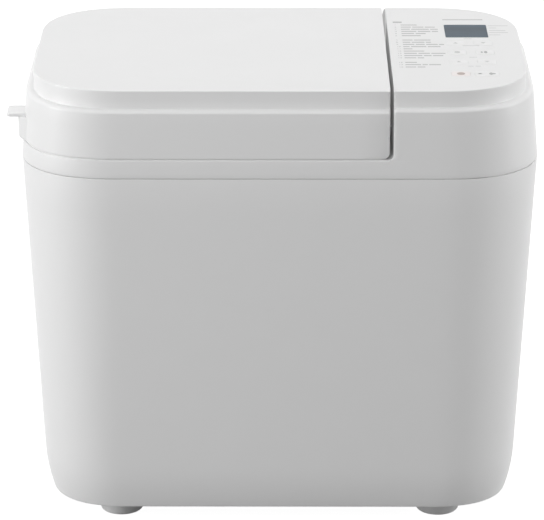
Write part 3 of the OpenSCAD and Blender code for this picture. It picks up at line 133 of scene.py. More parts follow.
def makeFinish(name, colour, rough=0.5, metal=0.0, tint=0.03, tintScale=40, roughVary=0.06, roughScale=60,
               bump=0.1, bumpScale=900, bumpDepth=0.2 * mm, stretch=(1, 1, 1), ior=1.5, specks=None,
               waves=None, fade=None, paintedGlow=None):
    mat = bpy.data.materials.new(name)
    mat.use_nodes = True
    tree = mat.node_tree
    link = tree.links.new
    shader = tree.nodes["Principled BSDF"]
    shader.inputs["Metallic"].default_value = metal
    shader.inputs["IOR"].default_value = ior
    here = addNode(tree, "ShaderNodeTexCoord").outputs["Object"]
    mapping = addNode(tree, "ShaderNodeMapping", {"Scale": stretch})
    link(here, mapping.inputs["Vector"])
    stretched = mapping.outputs["Vector"]
    # a painted glow: emission that stands in for light, though the part is no lamp
    if paintedGlow:
        link(addLengthwise(tree, here, paintedGlow), shader.inputs["Emission Color"])
        shader.inputs["Emission Strength"].default_value = 1.0

    # colour, a little lighter and darker in patches
    mix = addNode(tree, "ShaderNodeMix", data_type="RGBA")
    mix.inputs["A"].default_value = [c * (1 - tint) for c in colour] + [1]
    mix.inputs["B"].default_value = [min(1, c * (1 + tint)) for c in colour] + [1]
    link(addNoise(tree, stretched, tintScale, grain["patchDetail"]), mix.inputs["Factor"])
    surface = mix.outputs["Result"]
    # fade multiplies the colour by a painted shade along the piece
    if fade:
        paintedShadeMix = addNode(tree, "ShaderNodeMix", data_type="RGBA", blend_type="MULTIPLY")
        paintedShadeMix.inputs["Factor"].default_value = 1
        link(surface, paintedShadeMix.inputs["A"])
        link(addLengthwise(tree, here, fade), paintedShadeMix.inputs["B"])
        surface = paintedShadeMix.outputs["Result"]
    if specks:
        surface = addSpecks(tree, stretched, surface, specks)
    link(surface, shader.inputs["Base Color"])

    span = addNode(tree, "ShaderNodeMapRange", {"To Min": max(grain["smoothest"], rough - roughVary),
                                                "To Max": min(grain["roughest"], rough + roughVary)})
    link(addNoise(tree, stretched, roughScale, grain["fineDetail"]), span.inputs["Value"])
    link(span.outputs["Result"], shader.inputs["Roughness"])

    height = addNoise(tree, stretched, bumpScale, grain["fineDetail"])
    if waves:
        height = addWaves(tree, here, height, waves)
    relief = addNode(tree, "ShaderNodeBump", {"Strength": bump, "Distance": bumpDepth})
    link(height, relief.inputs["Height"])
    link(relief.outputs["Normal"], shader.inputs["Normal"])
    return mat


shellColour = (0.80, 0.80, 0.80)
# painted light: a glow for the faces along the split, faint at the front and brighter towards the back
splitPaintedLight = {"front": -20.0, "back": 120.0,
             "stops": [(0.0, 0.025), (0.35, 0.03), (0.7, 0.06), (0.85, 0.11), (1.0, 0.17)]}
# painted shade on the display face: darker towards its back, lighter again at the very back edge
displayPaintedShade = {"front": 29.5, "back": 66.4,
               "stops": [(0.0, 0.98), (0.45, 0.8), (0.7, 0.66), (0.82, 0.72), (0.9, 1.0)]}
finishSettings = {
    "casingPlastic": {"colour": shellColour, "rough": 0.42, "tint": 0.006, "bump": 0.06, "bumpScale": 1400},
    "housingPlastic": {"colour": shellColour, "rough": 0.38, "tint": 0.006, "bump": 0.05, "bumpScale": 1500},
    # the faces along the split, which carry the painted glow
    "splitPaintedLightPlastic": {"colour": shellColour, "rough": 0.45, "tint": 0.006, "bump": 0.05, "paintedGlow": splitPaintedLight},
    "lidPlastic": {"colour": (0.81, 0.81, 0.81), "rough": 0.36, "tint": 0.006, "bump": 0.05,
                   "bumpScale": 1500},
    "keyPlastic": {"colour": (0.825, 0.825, 0.825), "rough": 0.45, "tint": 0.01, "bump": 0.05},
    "startPlastic": {"colour": (0.845, 0.80, 0.79), "rough": 0.45, "tint": 0.01, "bump": 0.05},
    "darkPlastic": {"colour": (0.045, 0.045, 0.048), "rough": 0.5, "tint": 0.08, "bump": 0.12},
    "palePlastic": {"colour": (0.62, 0.62, 0.61), "rough": 0.45, "tint": 0.02, "bump": 0.1},
    "footRubber": {"colour": (0.84, 0.84, 0.84), "rough": 0.6, "bump": 0.15, "bumpScale": 700},
    "sealRubber": {"colour": (0.42, 0.42, 0.41), "rough": 0.6, "tint": 0.05, "bump": 0.15},
    "beltRubber": {"colour": (0.03, 0.03, 0.03), "rough": 0.7, "tint": 0.2, "bump": 0.3,
                   "waves": {"along": "X", "scale": 60, "distortion": 0}},
    "zincSteel": {"colour": (0.60, 0.61, 0.62), "rough": 0.34, "metal": 1.0, "tint": 0.08, "tintScale": 180,
                  "roughVary": 0.12, "roughScale": 220, "bump": 0.08},
    "ovenSteel": {"colour": (0.56, 0.56, 0.55), "rough": 0.42, "metal": 1.0, "tint": 0.07, "tintScale": 25,
                  "roughVary": 0.14, "roughScale": 90, "stretch": (1, 1, 0.15)},
    "heaterSteel": {"colour": (0.16, 0.155, 0.15), "metal": 1.0, "tint": 0.25, "tintScale": 50,
                    "roughVary": 0.15, "bump": 0.25, "bumpScale": 500},
    "frameSteel": {"colour": (0.07, 0.07, 0.075), "rough": 0.45, "tint": 0.1, "bump": 0.2, "bumpScale": 500},
    "coverAluminium": {"colour": (0.42, 0.42, 0.43), "metal": 1.0, "tintScale": 160, "roughScale": 400,
                       "bumpScale": 800, "stretch": (0.12, 1, 1)},
    "castAluminium": {"colour": (0.58, 0.58, 0.59), "rough": 0.48, "metal": 1.0, "tint": 0.08,
                      "roughVary": 0.12, "bump": 0.35, "bumpScale": 600},
    "nonStick": {"colour": (0.055, 0.055, 0.058), "rough": 0.38, "tint": 0.1, "tintScale": 150, "bump": 0.18,
                 "bumpScale": 450, "specks": {"scale": 900, "above": 0.64, "colour": (0.16, 0.16, 0.165)}},
    "bearingBrass": {"colour": (0.62, 0.44, 0.18), "rough": 0.36, "metal": 1.0, "tint": 0.1},
    "coreSteel": {"colour": (0.34, 0.35, 0.37), "rough": 0.42, "metal": 1.0, "tint": 0.15, "tintScale": 60,
                  "bump": 0.5, "waves": {"along": "Z", "scale": 320, "distortion": 0}},
    "copperWire": {"colour": (0.50, 0.19, 0.06), "rough": 0.3, "metal": 0.6, "tint": 0.15, "bump": 0.6,
                   "bumpDepth": 0.4 * mm, "waves": {"along": "DIAGONAL", "scale": 240, "distortion": 2}},
    "boardGreen": {"colour": (0.025, 0.14, 0.06), "rough": 0.4, "tint": 0.2, "tintScale": 400, "bump": 0.15,
                   "specks": {"scale": 520, "above": 0.66, "colour": (0.45, 0.45, 0.44)}},
    "relayBlue": {"colour": (0.03, 0.09, 0.32), "rough": 0.3, "tint": 0.08, "bump": 0.06},
    "capacitorCase": {"colour": (0.68, 0.68, 0.66), "rough": 0.3, "bump": 0.06},
    # the display face: its own dark colour, with the painted shade along it
    "lcdFace": {"colour": (0.035, 0.068, 0.102), "rough": 0.3, "tint": 0.10, "tintScale": 140,
                "roughVary": 0.03, "bump": 0.01, "ior": 1.2, "fade": displayPaintedShade},
    "greyInk": {"colour": (0.43, 0.43, 0.43), "rough": 0.6, "tint": 0.04, "bump": 0.02},
    "paleInk": {"colour": (0.58, 0.58, 0.58), "rough": 0.6, "tint": 0.04, "bump": 0.02},
    "redInk": {"colour": (0.46, 0.385, 0.36), "rough": 0.6, "tint": 0.04, "bump": 0.02},
}
finishes = {name: makeFinish(name, **settings) for name, settings in finishSettings.items()}
print("finishes made:", len(finishes))


shift = 5.0                      # the casing's middle, right of the frame's origin
arcMiddle = 0.3                  # how deep a rounded edge's middle lies, as a share of its radius
casing = {
    "halfWidth": 199.0, "halfDepth": 124.5, "cornerRadius": 78.5, "baseRadius": 62.0, "power": 2.42,
    "bottom": 16.0, "seam": 291.0, "sideLean": 0.053, "frontLean": 0.040, "tuckIn": 4.2, "tuckHeight": 34.6,
    "wall": 2.5, "flange": 8.0, "flangeThick": 2.5, "seamEdge": 0.3, "bottomEdge": 0.7,
    "cornerSteps": 26, "flatSteps": 10, "tuckSteps": 12, "wallSteps": 9, "bottomEdgeSteps": 5,
    "seamEdgeSteps": 4,
    "insideAboveTuck": (240, 180, 120, 80, 60), "insideBelowTuck": (40, 30, 24),
}
# the outside that the lid and the panel share, above the deck
crown = {
    "deck": 305.7, "plainAt": (320, 332), "ledge": 346.0, "top": 359.0, "ledgeInX": 4.45, "ledgeInY": 0.6,
    "ledgeRadius": 76.5, "topInX": 9.9, "topInY": 5.2, "topRadius": 73.5, "ledgeIn": 4.0, "ledgeDown": 3.0,
    "topEdge": 0.8, "topEdgeSteps": 5, "topPlain": 4.0, "wall": 2.5, "fillet": 5.0, "arcSteps": 8,
    "foot": ((0.228, 0.05), (0.095, 0.076), (0.0304, 0.19), (0, 0.38)),
}
# the gap between the lid and the panel
split = {"lidRight": 82.7086, "panelLeft": 85.6, "lidEdge": 1.3, "panelEdge": 0.4, "facing": 0.9, "near": 0.3}


def inset(size, by):
    return tuple(s - by for s in size)


seamSize = (casing["halfWidth"], casing["halfDepth"], casing["cornerRadius"])
ledgeSize = (seamSize[0] - crown["ledgeInX"], seamSize[1] - crown["ledgeInY"], crown["ledgeRadius"])
topSize = (seamSize[0] - crown["topInX"], seamSize[1] - crown["topInY"], crown["topRadius"])


def casingAt(z):
    # half width, half depth and corner radius at a height
    c = casing
    down = c["seam"] - z
    tuck = c["tuckIn"] * (max(0, c["bottom"] + c["tuckHeight"] - z) / c["tuckHeight"]) ** 2
    f = down / (c["seam"] - c["bottom"])
    return (c["halfWidth"] - c["sideLean"] * down - tuck, c["halfDepth"] - c["frontLean"] * down - tuck,
            c["cornerRadius"] + (c["baseRadius"] - c["cornerRadius"]) * f)


def upperAt(z):
    f = (z - casing["seam"]) / (crown["ledge"] - casing["seam"])
    return tuple(p + (q - p) * f for p, q in zip(seamSize, ledgeSize))


def quarter(k, size):
    # one of the four round corners, counted from the right rear one
    hx, hy, r = size
    x, y = hx - r, hy - r
    found = []
    for i in range(casing["cornerSteps"] + 1):
        a = 0.5 * math.pi * i / casing["cornerSteps"]
        c = r * max(0.0, math.cos(a)) ** (2 / casing["power"])
        d = r * math.sin(a) ** (2 / casing["power"])
        found.append(((x + c, y + d), (-x - d, y + c), (-x - c, -y - d), (x + d, -y - c))[k])
    return found


def between(a, b):
    steps = casing["flatSteps"]
    return [(a[0] + (b[0] - a[0]) * i / steps, a[1] + (b[1] - a[1]) * i / steps) for i in range(1, steps)]


def chain(*runs):
    joined = list(runs[0])
    for run in runs[1:]:
        joined += between(joined[-1], run[0]) + list(run)
    return joined + between(joined[-1], joined[0])


def wholeOutline(size):
    return chain(*[quarter(k, size) for k in range(4)])


def sideOutline(side, size, x):
    # side -1 is the lid, left of the split; side 1 is the panel, right of it
    r = split["lidEdge" if side < 0 else "panelEdge"]
    m = arcMiddle * r
    hy = size[1]
    if side < 0:
        start = [(x, hy - r), (x - m, hy - m), (x - r, hy)]
        end = [(x - r, -hy), (x - m, -hy + m), (x, -hy + r)]
        return chain(start, quarter(1, size), quarter(2, size), end)
    start = [(x, -hy + r), (x + m, -hy + m), (x + r, -hy)]
    end = [(x + r, hy), (x + m, hy - m), (x, hy - r)]
    return chain(start, quarter(3, size), quarter(0, size), end)


def ellipse(x, y, rx, ry, steps):
    angles = [2 * math.pi * i / steps for i in range(steps)]
    return [(x + rx * math.cos(a), y + ry * math.sin(a)) for a in angles]


def roundRect(w, d, r, cornerSteps=6):
    found = []
    for k, (sx, sy) in enumerate(((1, 1), (-1, 1), (-1, -1), (1, -1))):
        for i in range(cornerSteps + 1):
            a = 0.5 * math.pi * (k + i / cornerSteps)
            found.append((sx * (w / 2 - r) + r * math.cos(a), sy * (d / 2 - r) + r * math.sin(a)))
    return found


def arcSteps(count):
    return [0.5 * math.pi * i / count for i in range(count + 1)]


def place(x, y, z):
    # a point given in millimetres about the casing's middle
    return Vector(((x + shift) * mm, y * mm, z * mm))


def ring(points, z, dx=0.0):
    return [place(x + dx, y, z) for x, y in points]


smoothAngle = 38                 # degrees; a sharper edge than this stays sharp


def smooth(mesh):
    mesh.shade_smooth()
    mesh.set_sharp_from_angle(angle=math.radians(smoothAngle))


def makeObject(name, bm, material):
    mesh = bpy.data.meshes.new(name)
    bm.to_mesh(mesh)
    bm.free()
    return addObject(name, mesh, material)


def addObject(name, mesh, material):
    obj = bpy.data.objects.new(name, mesh)
    bpy.context.scene.collection.objects.link(obj)
    if material:
        mesh.materials.append(material)
    smooth(mesh)
    return obj


def loft(name, rings, material, closed=False):
    # closed joins the last ring to the first; otherwise both ends get a face
    bm = bmesh.new()
    rows = [[bm.verts.new(p) for p in r] for r in rings]
    count = len(rows[0])
    spans = list(zip(rows, rows[1:])) + ([(rows[-1], rows[0])] if closed else [])
    for low, high in spans:
        for i in range(count):
            j = (i + 1) % count
            bm.faces.new((low[i], low[j], high[j], high[i]))
    if not closed:
        bm.faces.new(rows[0][::-1])
        bm.faces.new(rows[-1])
    bmesh.ops.recalc_face_normals(bm, faces=bm.faces)
    return makeObject(name, bm, material)


def bake(obj):
    # the evaluated object as a plain mesh, its modifiers gone
    view = bpy.context.evaluated_depsgraph_get()
    mesh = bpy.data.meshes.new_from_object(obj.evaluated_get(view))
    old = obj.data
    obj.modifiers.clear()
    obj.data = mesh
    bpy.data.meshes.remove(old)
    smooth(mesh)
    return obj


def cut(obj, cutter, operation="DIFFERENCE"):
    mod = obj.modifiers.new("cut", "BOOLEAN")
    mod.operation = operation
    mod.solver = "MANIFOLD"
    mod.object = cutter
    bpy.context.view_layer.update()
    bake(obj)
    bpy.data.objects.remove(cutter)


def join(name, parts, material):
    bm = bmesh.new()
    for part in parts:
        bm.from_mesh(part.data)
        bpy.data.objects.remove(part)
    return makeObject(name, bm, material)


def block(name, low, high, material):
    # a box between two corners
    corners = [(low[0], low[1]), (high[0], low[1]), (high[0], high[1]), (low[0], high[1])]
    return loft(name, [ring(corners, z) for z in (low[2], high[2])], material)


def pad(name, w, d, r, profile, x, y, material):
    # a rounded slab; profile is a list of (inset, z)
    sharpest = 0.2
    rings = [ring([(px + x, py + y) for px, py in roundRect(w - 2 * i, d - 2 * i, max(sharpest, r - i))], z)
             for i, z in profile]
    return loft(name, rings, material)


def newTree(name, sockets):
    tree = bpy.data.node_groups.new(name, "GeometryNodeTree")
    for label, kind, value in sockets:
        s = tree.interface.new_socket(label, in_out="INPUT", socket_type=kind)
        if value is not None:
            s.default_value = value
    tree.interface.new_socket("Geometry", in_out="OUTPUT", socket_type="NodeSocketGeometry")
    return tree, tree.nodes.new("NodeGroupInput"), tree.nodes.new("NodeGroupOutput")


def growWith(name, tree, values):
    # an object whose mesh comes from the tree, as a plain mesh
    obj = bpy.data.objects.new(name, bpy.data.meshes.new(name))
    bpy.context.scene.collection.objects.link(obj)
    mod = obj.modifiers.new("grow", "NODES")
    mod.node_group = tree
    ids = {s.name: s.identifier for s in tree.interface.items_tree
           if s.item_type == "SOCKET" and s.in_out == "INPUT"}
    for label, value in values.items():
        mod[ids[label]] = value
    bpy.context.view_layer.update()
    return bake(obj)


def slotTree():
    # a row of upright round-ended bars, which cut slots through a wall
    tree, given, out = newTree("slotRow", [
        ("Count", "NodeSocketInt", 6), ("Pitch", "NodeSocketFloat", 8 * mm),
        ("Width", "NodeSocketFloat", 3 * mm), ("Height", "NodeSocketFloat", 30 * mm),
        ("Depth", "NodeSocketFloat", 30 * mm), ("Start", "NodeSocketVector", (0, 0, 0)),
        ("Finish", "NodeSocketMaterial", None)])
    link = tree.links.new
    roundShare, roundSteps = 0.49, 5
    quad = addNode(tree, "GeometryNodeCurvePrimitiveQuadrilateral")
    link(given.outputs["Width"], quad.inputs["Width"])
    link(given.outputs["Height"], quad.inputs["Height"])
    half = addNode(tree, "ShaderNodeMath", {1: roundShare}, operation="MULTIPLY")
    link(given.outputs["Width"], half.inputs[0])
    fillet = addNode(tree, "GeometryNodeFilletCurve", {"Count": roundSteps}, mode="POLY")
    link(quad.outputs["Curve"], fillet.inputs["Curve"])
    link(half.outputs["Value"], fillet.inputs["Radius"])
    path = addNode(tree, "GeometryNodeCurvePrimitiveLine", {"Direction": (0, 1, 0)}, mode="DIRECTION")
    link(given.outputs["Depth"], path.inputs["Length"])
    body = addNode(tree, "GeometryNodeCurveToMesh", {"Fill Caps": True})
    link(path.outputs["Curve"], body.inputs["Curve"])
    link(fillet.outputs["Curve"], body.inputs["Profile Curve"])
    line = addNode(tree, "GeometryNodeMeshLine")
    link(given.outputs["Count"], line.inputs["Count"])
    link(given.outputs["Start"], line.inputs["Start Location"])
    step = addNode(tree, "ShaderNodeCombineXYZ")
    link(given.outputs["Pitch"], step.inputs["X"])
    link(step.outputs["Vector"], line.inputs["Offset"])
    spread = addNode(tree, "GeometryNodeInstanceOnPoints")
    link(line.outputs["Mesh"], spread.inputs["Points"])
    link(body.outputs["Mesh"], spread.inputs["Instance"])
    real = addNode(tree, "GeometryNodeRealizeInstances")
    link(spread.outputs["Instances"], real.inputs["Geometry"])
    paint = addNode(tree, "GeometryNodeSetMaterial")
    link(real.outputs["Geometry"], paint.inputs["Geometry"])
    link(given.outputs["Finish"], paint.inputs["Material"])
    link(paint.outputs["Geometry"], out.inputs["Geometry"])
    return tree


slots = slotTree()


def cutSlots(obj, spec, firstX, middleZ, finish):
    cutters = growWith("slotCutters", slots, {
        "Count": spec["count"], "Pitch": spec["pitch"] * mm, "Width": spec["width"] * mm,
        "Height": spec["height"] * mm, "Depth": spec["depth"] * mm, "Finish": finish,
        "Start": tuple(place(firstX, spec["startY"], middleZ))})
    cut(obj, cutters)


coolingSlots = {"count": 8, "pitch": 8.0, "width": 3.0, "height": 36.0, "left": 77.194, "lift": 30.0,
                "startY": 70.0, "depth": 80.0}
inlet = {"x": 40.0, "z": 45.0, "hole": 7.6, "cutFrom": 90.0, "cutTo": 140.0, "steps": 40}


def makeCasing():
    c = casing
    z0, z1 = c["bottom"], c["seam"]
    tuckTop = z0 + c["tuckHeight"]
    rings = []
    for a in arcSteps(c["bottomEdgeSteps"]):
        z = z0 + c["bottomEdge"] * (1 - math.cos(a))
        rings.append(ring(wholeOutline(inset(casingAt(z), c["bottomEdge"] * (1 - math.sin(a)))), z))
    for i in range(1, c["tuckSteps"] + 1):
        z = z0 + c["bottomEdge"] + (c["tuckHeight"] - c["bottomEdge"]) * i / c["tuckSteps"]
        rings.append(ring(wholeOutline(casingAt(z)), z))
    for i in range(1, c["wallSteps"] + 1):
        z = tuckTop + (z1 - c["seamEdge"] - tuckTop) * i / c["wallSteps"]
        rings.append(ring(wholeOutline(casingAt(z)), z))
    for a in arcSteps(c["seamEdgeSteps"])[1:]:
        z = z1 - c["seamEdge"] * (1 - math.sin(a))
        rings.append(ring(wholeOutline(inset(casingAt(z), c["seamEdge"] * (1 - math.cos(a)))), z))
    floor = z0 + c["flangeThick"]
    for z in (z1, *c["insideAboveTuck"], tuckTop, *c["insideBelowTuck"], floor):
        rings.append(ring(wholeOutline(inset(casingAt(z), c["wall"])), z))
    for z in (floor, z0):
        rings.append(ring(wholeOutline(inset(casingAt(z), c["flange"])), z))
    shell = loft("casingShell", rings, finishes["casingPlastic"], closed=True)
    s = coolingSlots
    cutSlots(shell, s, s["left"] + s["width"] / 2, z0 + s["lift"] + s["height"] / 2,
             finishes["casingPlastic"])
    hole = ellipse(inlet["x"], inlet["z"], inlet["hole"], inlet["hole"], inlet["steps"])
    rings = [[place(x, y, z) for x, z in hole] for y in (inlet["cutFrom"], inlet["cutTo"])]
    cut(shell, loft("inletCutter", rings, finishes["casingPlastic"]))
    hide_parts("body_shell")
    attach(shell, "machine")


makeCasing()
print("casing made")


feet = {
    "x": 125.3, "y": 73.4, "tread": 17.0, "top": 18.0, "edge": 3.0, "meets": 18.5, "stem": 4.0, "barb": 5.0,
    "barbAt": 21.0, "tip": 3.0, "stemTop": 23.5, "edgeSteps": 8, "sideSteps": 4, "roundSteps": 64,
}


def makeFeet():
    f = feet
    e = f["edge"]
    profile = [(f["tread"] - e * (1 - math.sin(a)), e * (1 - math.cos(a))) for a in arcSteps(f["edgeSteps"])]
    for i in range(1, f["sideSteps"] + 1):
        up = i / f["sideSteps"]
        profile.append((f["tread"] + (f["top"] - f["tread"]) * up, e + (f["meets"] - e) * up))
    profile += [(f["stem"], f["meets"]), (f["stem"], f["barbAt"]), (f["barb"], f["barbAt"]),
                (f["tip"], f["stemTop"])]
    made = []
    for sx, sy in ((1, 1), (-1, 1), (-1, -1), (1, -1)):
        rings = [ring(ellipse(sx * f["x"], sy * f["y"], r, r, f["roundSteps"]), z) for r, z in profile]
        made.append(loft("foot", rings, None))
    whole = join("feet", made, finishes["footRubber"])
    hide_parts("rubber_feet")
    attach(whole, "machine")


makeFeet()
print("feet made")


keyboard = {
    "middle": 147.776, "left": 10.0, "across": 21.7, "rear": 13.004, "pitch": 26.485, "front": -73.012,
    "width": 14.0, "stopWidth": 18.0, "depth": 12.0, "radius": 3.0, "hole": 0.3, "gap": 0.12, "proud": 0.18,
    "edge": 0.12, "flangeOut": 1.5, "flangeTop": 356.2, "flangeBottom": 355.2, "stem": 4.0,
    "stemRadius": 1.99, "stemBottom": 350.4,
    "rows": (("key_course_up", "key_course_down"), ("key_size", "key_crust"),
             ("key_timer_up", "key_timer_down")),
}


def placeKeys():
    # each key's middle and width
    k = keyboard
    left = k["middle"] - k["left"]
    places = {name: (left + col * k["across"], k["rear"] - row * k["pitch"], k["width"])
              for row, pair in enumerate(k["rows"]) for col, name in enumerate(pair)}
    places["key_start"] = (left, k["front"], k["width"])
    places["key_stop"] = (left + k["across"] - (k["stopWidth"] - k["width"]) / 2, k["front"], k["stopWidth"])
    return places


keyPlaces = placeKeys()
display = {"x": keyboard["middle"], "y": 48.359, "width": 33.9, "depth": 37.9, "radius": 1.0,
           "gap": 0.05, "sunk": 0.2, "edge": 0.15, "bottom": 356.5, "flangeOut": 2.5, "flangeRadius": 1.0,
           "flangeBottom": 355.5}
hinge = {"armY": 70.0, "armWidth": 8.0, "slotGap": 1.0, "slotLift": 0.3, "slotTop": 356.4, "notchGap": 0.2,
         "notchTop": 317.2, "over": 1.0}
oven = {"x": (split["lidRight"] - casing["halfWidth"]) / 2, "halfWidth": 106.5, "halfDepth": 94.0,
        "radius": 35.0, "sheet": 1.0}


def crownRings(side, x, ledge):
    # from the wall over the ledge and up to the top face
    c = crown
    rings = []
    for a in arcSteps(c["arcSteps"]):
        z = ledge - c["ledgeDown"] * (1 - math.sin(a))
        rings.append(ring(sideOutline(side, inset(upperAt(z), c["ledgeIn"] * (1 - math.cos(a))), x), z))
    for out, up in c["foot"]:
        rings.append(ring(sideOutline(side, inset(topSize, -out), x), ledge + up))
    rings.append(ring(sideOutline(side, topSize, x), c["top"] - c["topPlain"]))
    for a in arcSteps(c["topEdgeSteps"]):
        z = c["top"] - c["topEdge"] * (1 - math.sin(a))
        rings.append(ring(sideOutline(side, inset(topSize, c["topEdge"] * (1 - math.cos(a))), x), z))
    return rings


def hollowRings(side, x, ledge, bottom):
    # the inside, from under the top face down to the bottom
    w = crown["wall"]
    inside = ((topSize, crown["top"] - w), (topSize, ledge - w), (upperAt(ledge - 2 * w), ledge - 2 * w),
              (upperAt(bottom), bottom))
    return [ring(sideOutline(side, inset(size, w), x), z) for size, z in inside]


deck = {
    "under": 302.7, "seamGap": 0.6, "skirt": 8.0, "skirtGap": 0.3, "lipUp": 0.1, "seamEdge": 0.25,
    "seamEdgeSteps": 3, "edge": 0.45, "edgeSteps": 4, "plainAt": (0.3, 0.6), "fadeGap": 1.0, "fadeRun": 4.0,
    "bead": 1.0, "beadInner": 2.4, "beadSlope": 0.02, "beadTop": 306.8, "beadGap": 2.0, "beadRun": 3.0,
}


def leftOfPanel(x, gap, run):
    # 1 under the lid, and down to 0 where the panel stands on the deck
    return min(1, max(0, (split["panelLeft"] - crown["fillet"] - gap - x) / run))


def makeDeck():
    d = deck
    seam, top, wall = casing["seam"], crown["deck"], crown["wall"]
    low = seam - d["skirt"]
    lip = seam + d["lipUp"]
    start = seam + d["seamGap"]
    skirtLow = inset(casingAt(low), casing["wall"] + d["skirtGap"])
    skirtHigh = inset(seamSize, casing["wall"] + d["skirtGap"])
    mouth = tuple(oven[size] + oven["sheet"] for size in ("halfWidth", "halfDepth", "radius"))
    rings = [ring(wholeOutline(skirtLow), low), ring(wholeOutline(skirtHigh), lip),
             ring(wholeOutline(inset(seamSize, d["bead"])), lip),
             ring(wholeOutline(inset(seamSize, d["bead"])), start)]
    for a in arcSteps(d["seamEdgeSteps"]):
        z = start + d["seamEdge"] * (1 - math.cos(a))
        rings.append(ring(wholeOutline(inset(upperAt(z), d["seamEdge"] * (1 - math.sin(a)))), z))
    for share in d["plainAt"]:
        z = start + (top - start) * share
        rings.append(ring(wholeOutline(upperAt(z)), z))
    # the rounded upper edge runs out under the panel
    for a in arcSteps(d["edgeSteps"]):
        z = top - d["edge"] * (1 - math.sin(a))
        plain = wholeOutline(upperAt(z))
        drawn = wholeOutline(inset(upperAt(z), d["edge"] * (1 - math.cos(a))))
        fade = [leftOfPanel(p[0], d["fadeGap"], d["fadeRun"]) for p in plain]
        rings.append(ring([(p[0] + (q[0] - p[0]) * f, p[1] + (q[1] - p[1]) * f)
                           for p, q, f in zip(plain, drawn, fade)], z))
    # so does the raised bead behind the gap under the lid
    rings.append(ring(wholeOutline(inset(upperAt(top), d["bead"])), top))
    for by in (d["bead"] + d["beadSlope"], d["beadInner"]):
        rings.append([place(x, y, top + (d["beadTop"] - top) * leftOfPanel(x, d["beadGap"], d["beadRun"]))
                      for x, y in wholeOutline(inset(upperAt(top), by))])
    rings.append(ring(wholeOutline(inset(upperAt(top), d["beadInner"] + d["beadSlope"])), top))
    rings.append(ring(wholeOutline(mouth), top, oven["x"]))
    rings.append(ring(wholeOutline(mouth), d["under"], oven["x"]))
    rings.append(ring(wholeOutline(inset(skirtHigh, wall)), d["under"]))
    rings.append(ring(wholeOutline(inset(skirtLow, wall)), low))
    return loft("deck", rings, finishes["housingPlastic"], closed=True)


panel = {"sunk": 0.4, "cutDown": 6.0, "cutUp": 2.0}


def cornerRings(side, x, lowest, edge):
    # the wall up from its rounded corner beside the split; edge rounds its lower rim
    r = crown["fillet"]
    rings = []
    for a in arcSteps(crown["arcSteps"]):
        up = r * (1 - math.cos(a))
        by = edge - math.sqrt(max(0, edge ** 2 - (edge - up) ** 2)) if up < edge else 0
        rings.append(ring(sideOutline(side, inset(upperAt(lowest + up), by), x - r * (1 - math.sin(a))),
                          lowest + up))
    for z in crown["plainAt"]:
        rings.append(ring(sideOutline(side, upperAt(z), x), z))
    return rings


def makePanel():
    c, h = crown, hinge
    x, r, w = split["panelLeft"], c["fillet"], c["wall"]
    foot = c["deck"] - panel["sunk"]
    rings = hollowRings(1, x + w, c["ledge"], foot)
    rings.append(ring(sideOutline(1, inset(upperAt(foot), panel["sunk"]), x - r), foot))
    rings += cornerRings(1, x, c["deck"], 0) + crownRings(1, x, c["ledge"])
    plastic = finishes["housingPlastic"]
    whole = loft("panel", rings, plastic)
    half = h["armWidth"] / 2 + h["slotGap"]
    for y in (-h["armY"], h["armY"]):
        cut(whole, block("armSlot", (x - r - h["over"], y - half, c["deck"] + h["slotLift"]),
                         (x + w + h["over"], y + half, h["slotTop"]), plastic))
    through = [(0, c["top"] - panel["cutDown"]), (0, c["top"] + panel["cutUp"])]
    k, d = keyboard, display
    wider = 2 * k["hole"]
    for keyX, keyY, width in keyPlaces.values():
        cut(whole, pad("keyCutter", width + wider, k["depth"] + wider, k["radius"] + k["hole"], through,
                       keyX, keyY, plastic))
    cut(whole, pad("displayCutter", d["width"], d["depth"], d["radius"], through, d["x"], d["y"], plastic))
    return whole


# a narrow web at the back of the split; its edge keeps clear of the lid's wall as the lid turns
web = {"front": 117.5, "back": 120.0, "offLid": 0.4, "sunk": 0.5,
       "edge": [(83.1, 350.5), (83.6, 354.0), (84.0, 356.0), (84.6, 357.6), (85.2, 358.2)]}


def makeWeb():
    foot, right = crown["deck"] - web["sunk"], split["panelLeft"] + web["sunk"]
    outline = [(split["lidRight"] + web["offLid"], foot)] + web["edge"]
    outline += [(right, web["edge"][-1][1]), (right, foot)]
    return loft("web", [[place(x, y, z) for x, z in outline] for y in (web["front"], web["back"])],
                finishes["housingPlastic"])


def paintLightOnSplit(obj, x):
    # the face along the split, which takes the painted glow that stands in for the light in the gap
    mesh = obj.data
    mesh.materials.append(finishes["splitPaintedLightPlastic"])
    for face in mesh.polygons:
        if abs(face.normal.x) > split["facing"] and abs(face.center.x / mm - shift - x) < split["near"]:
            face.material_index = len(mesh.materials) - 1


def makeHousing():
    housing = join("upperHousing", [makeDeck(), makePanel(), makeWeb()], finishes["housingPlastic"])
    paintLightOnSplit(housing, split["panelLeft"])
    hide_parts("upper_housing")
    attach(housing, "machine")


makeHousing()
print("upper housing made")


lidShape = {"bottom": 306.9, "ledge": 344.8, "edge": 0.5, "flat": 1.0}
tab = {"length": 22.0, "out": 10.0, "thick": 3.0, "y": -62.0, "lift": 20.4, "radius": 3.0, "root": 192.0,
       "edge": 0.9}
swell = {"out": 1.6, "half": 17.0, "power": 3.0, "steps": 12, "inWall": 5.0, "end": 0.02,
         "foot": ((1.4, 0.05), (0.5, 0.45), (0, 1.4)), "inTab": 0.5}
steamSlots = {"count": 6, "pitch": 8.0, "width": 4.0, "height": 12.0, "z": 320.0, "startY": 112.0,
              "depth": 30.0}


def makeTab(top):
    t = tab
    e, m = t["edge"], arcMiddle * t["edge"]
    under = top - t["thick"]
    profile = [(e, under), (m, under + m), (0, under + e), (0, top - e), (m, top - m), (e, top)]
    reach = casing["halfWidth"] + t["out"] - t["root"]
    return pad("tab", reach, t["length"], t["radius"], profile, -t["root"] - reach / 2, t["y"],
               finishes["lidPlastic"])


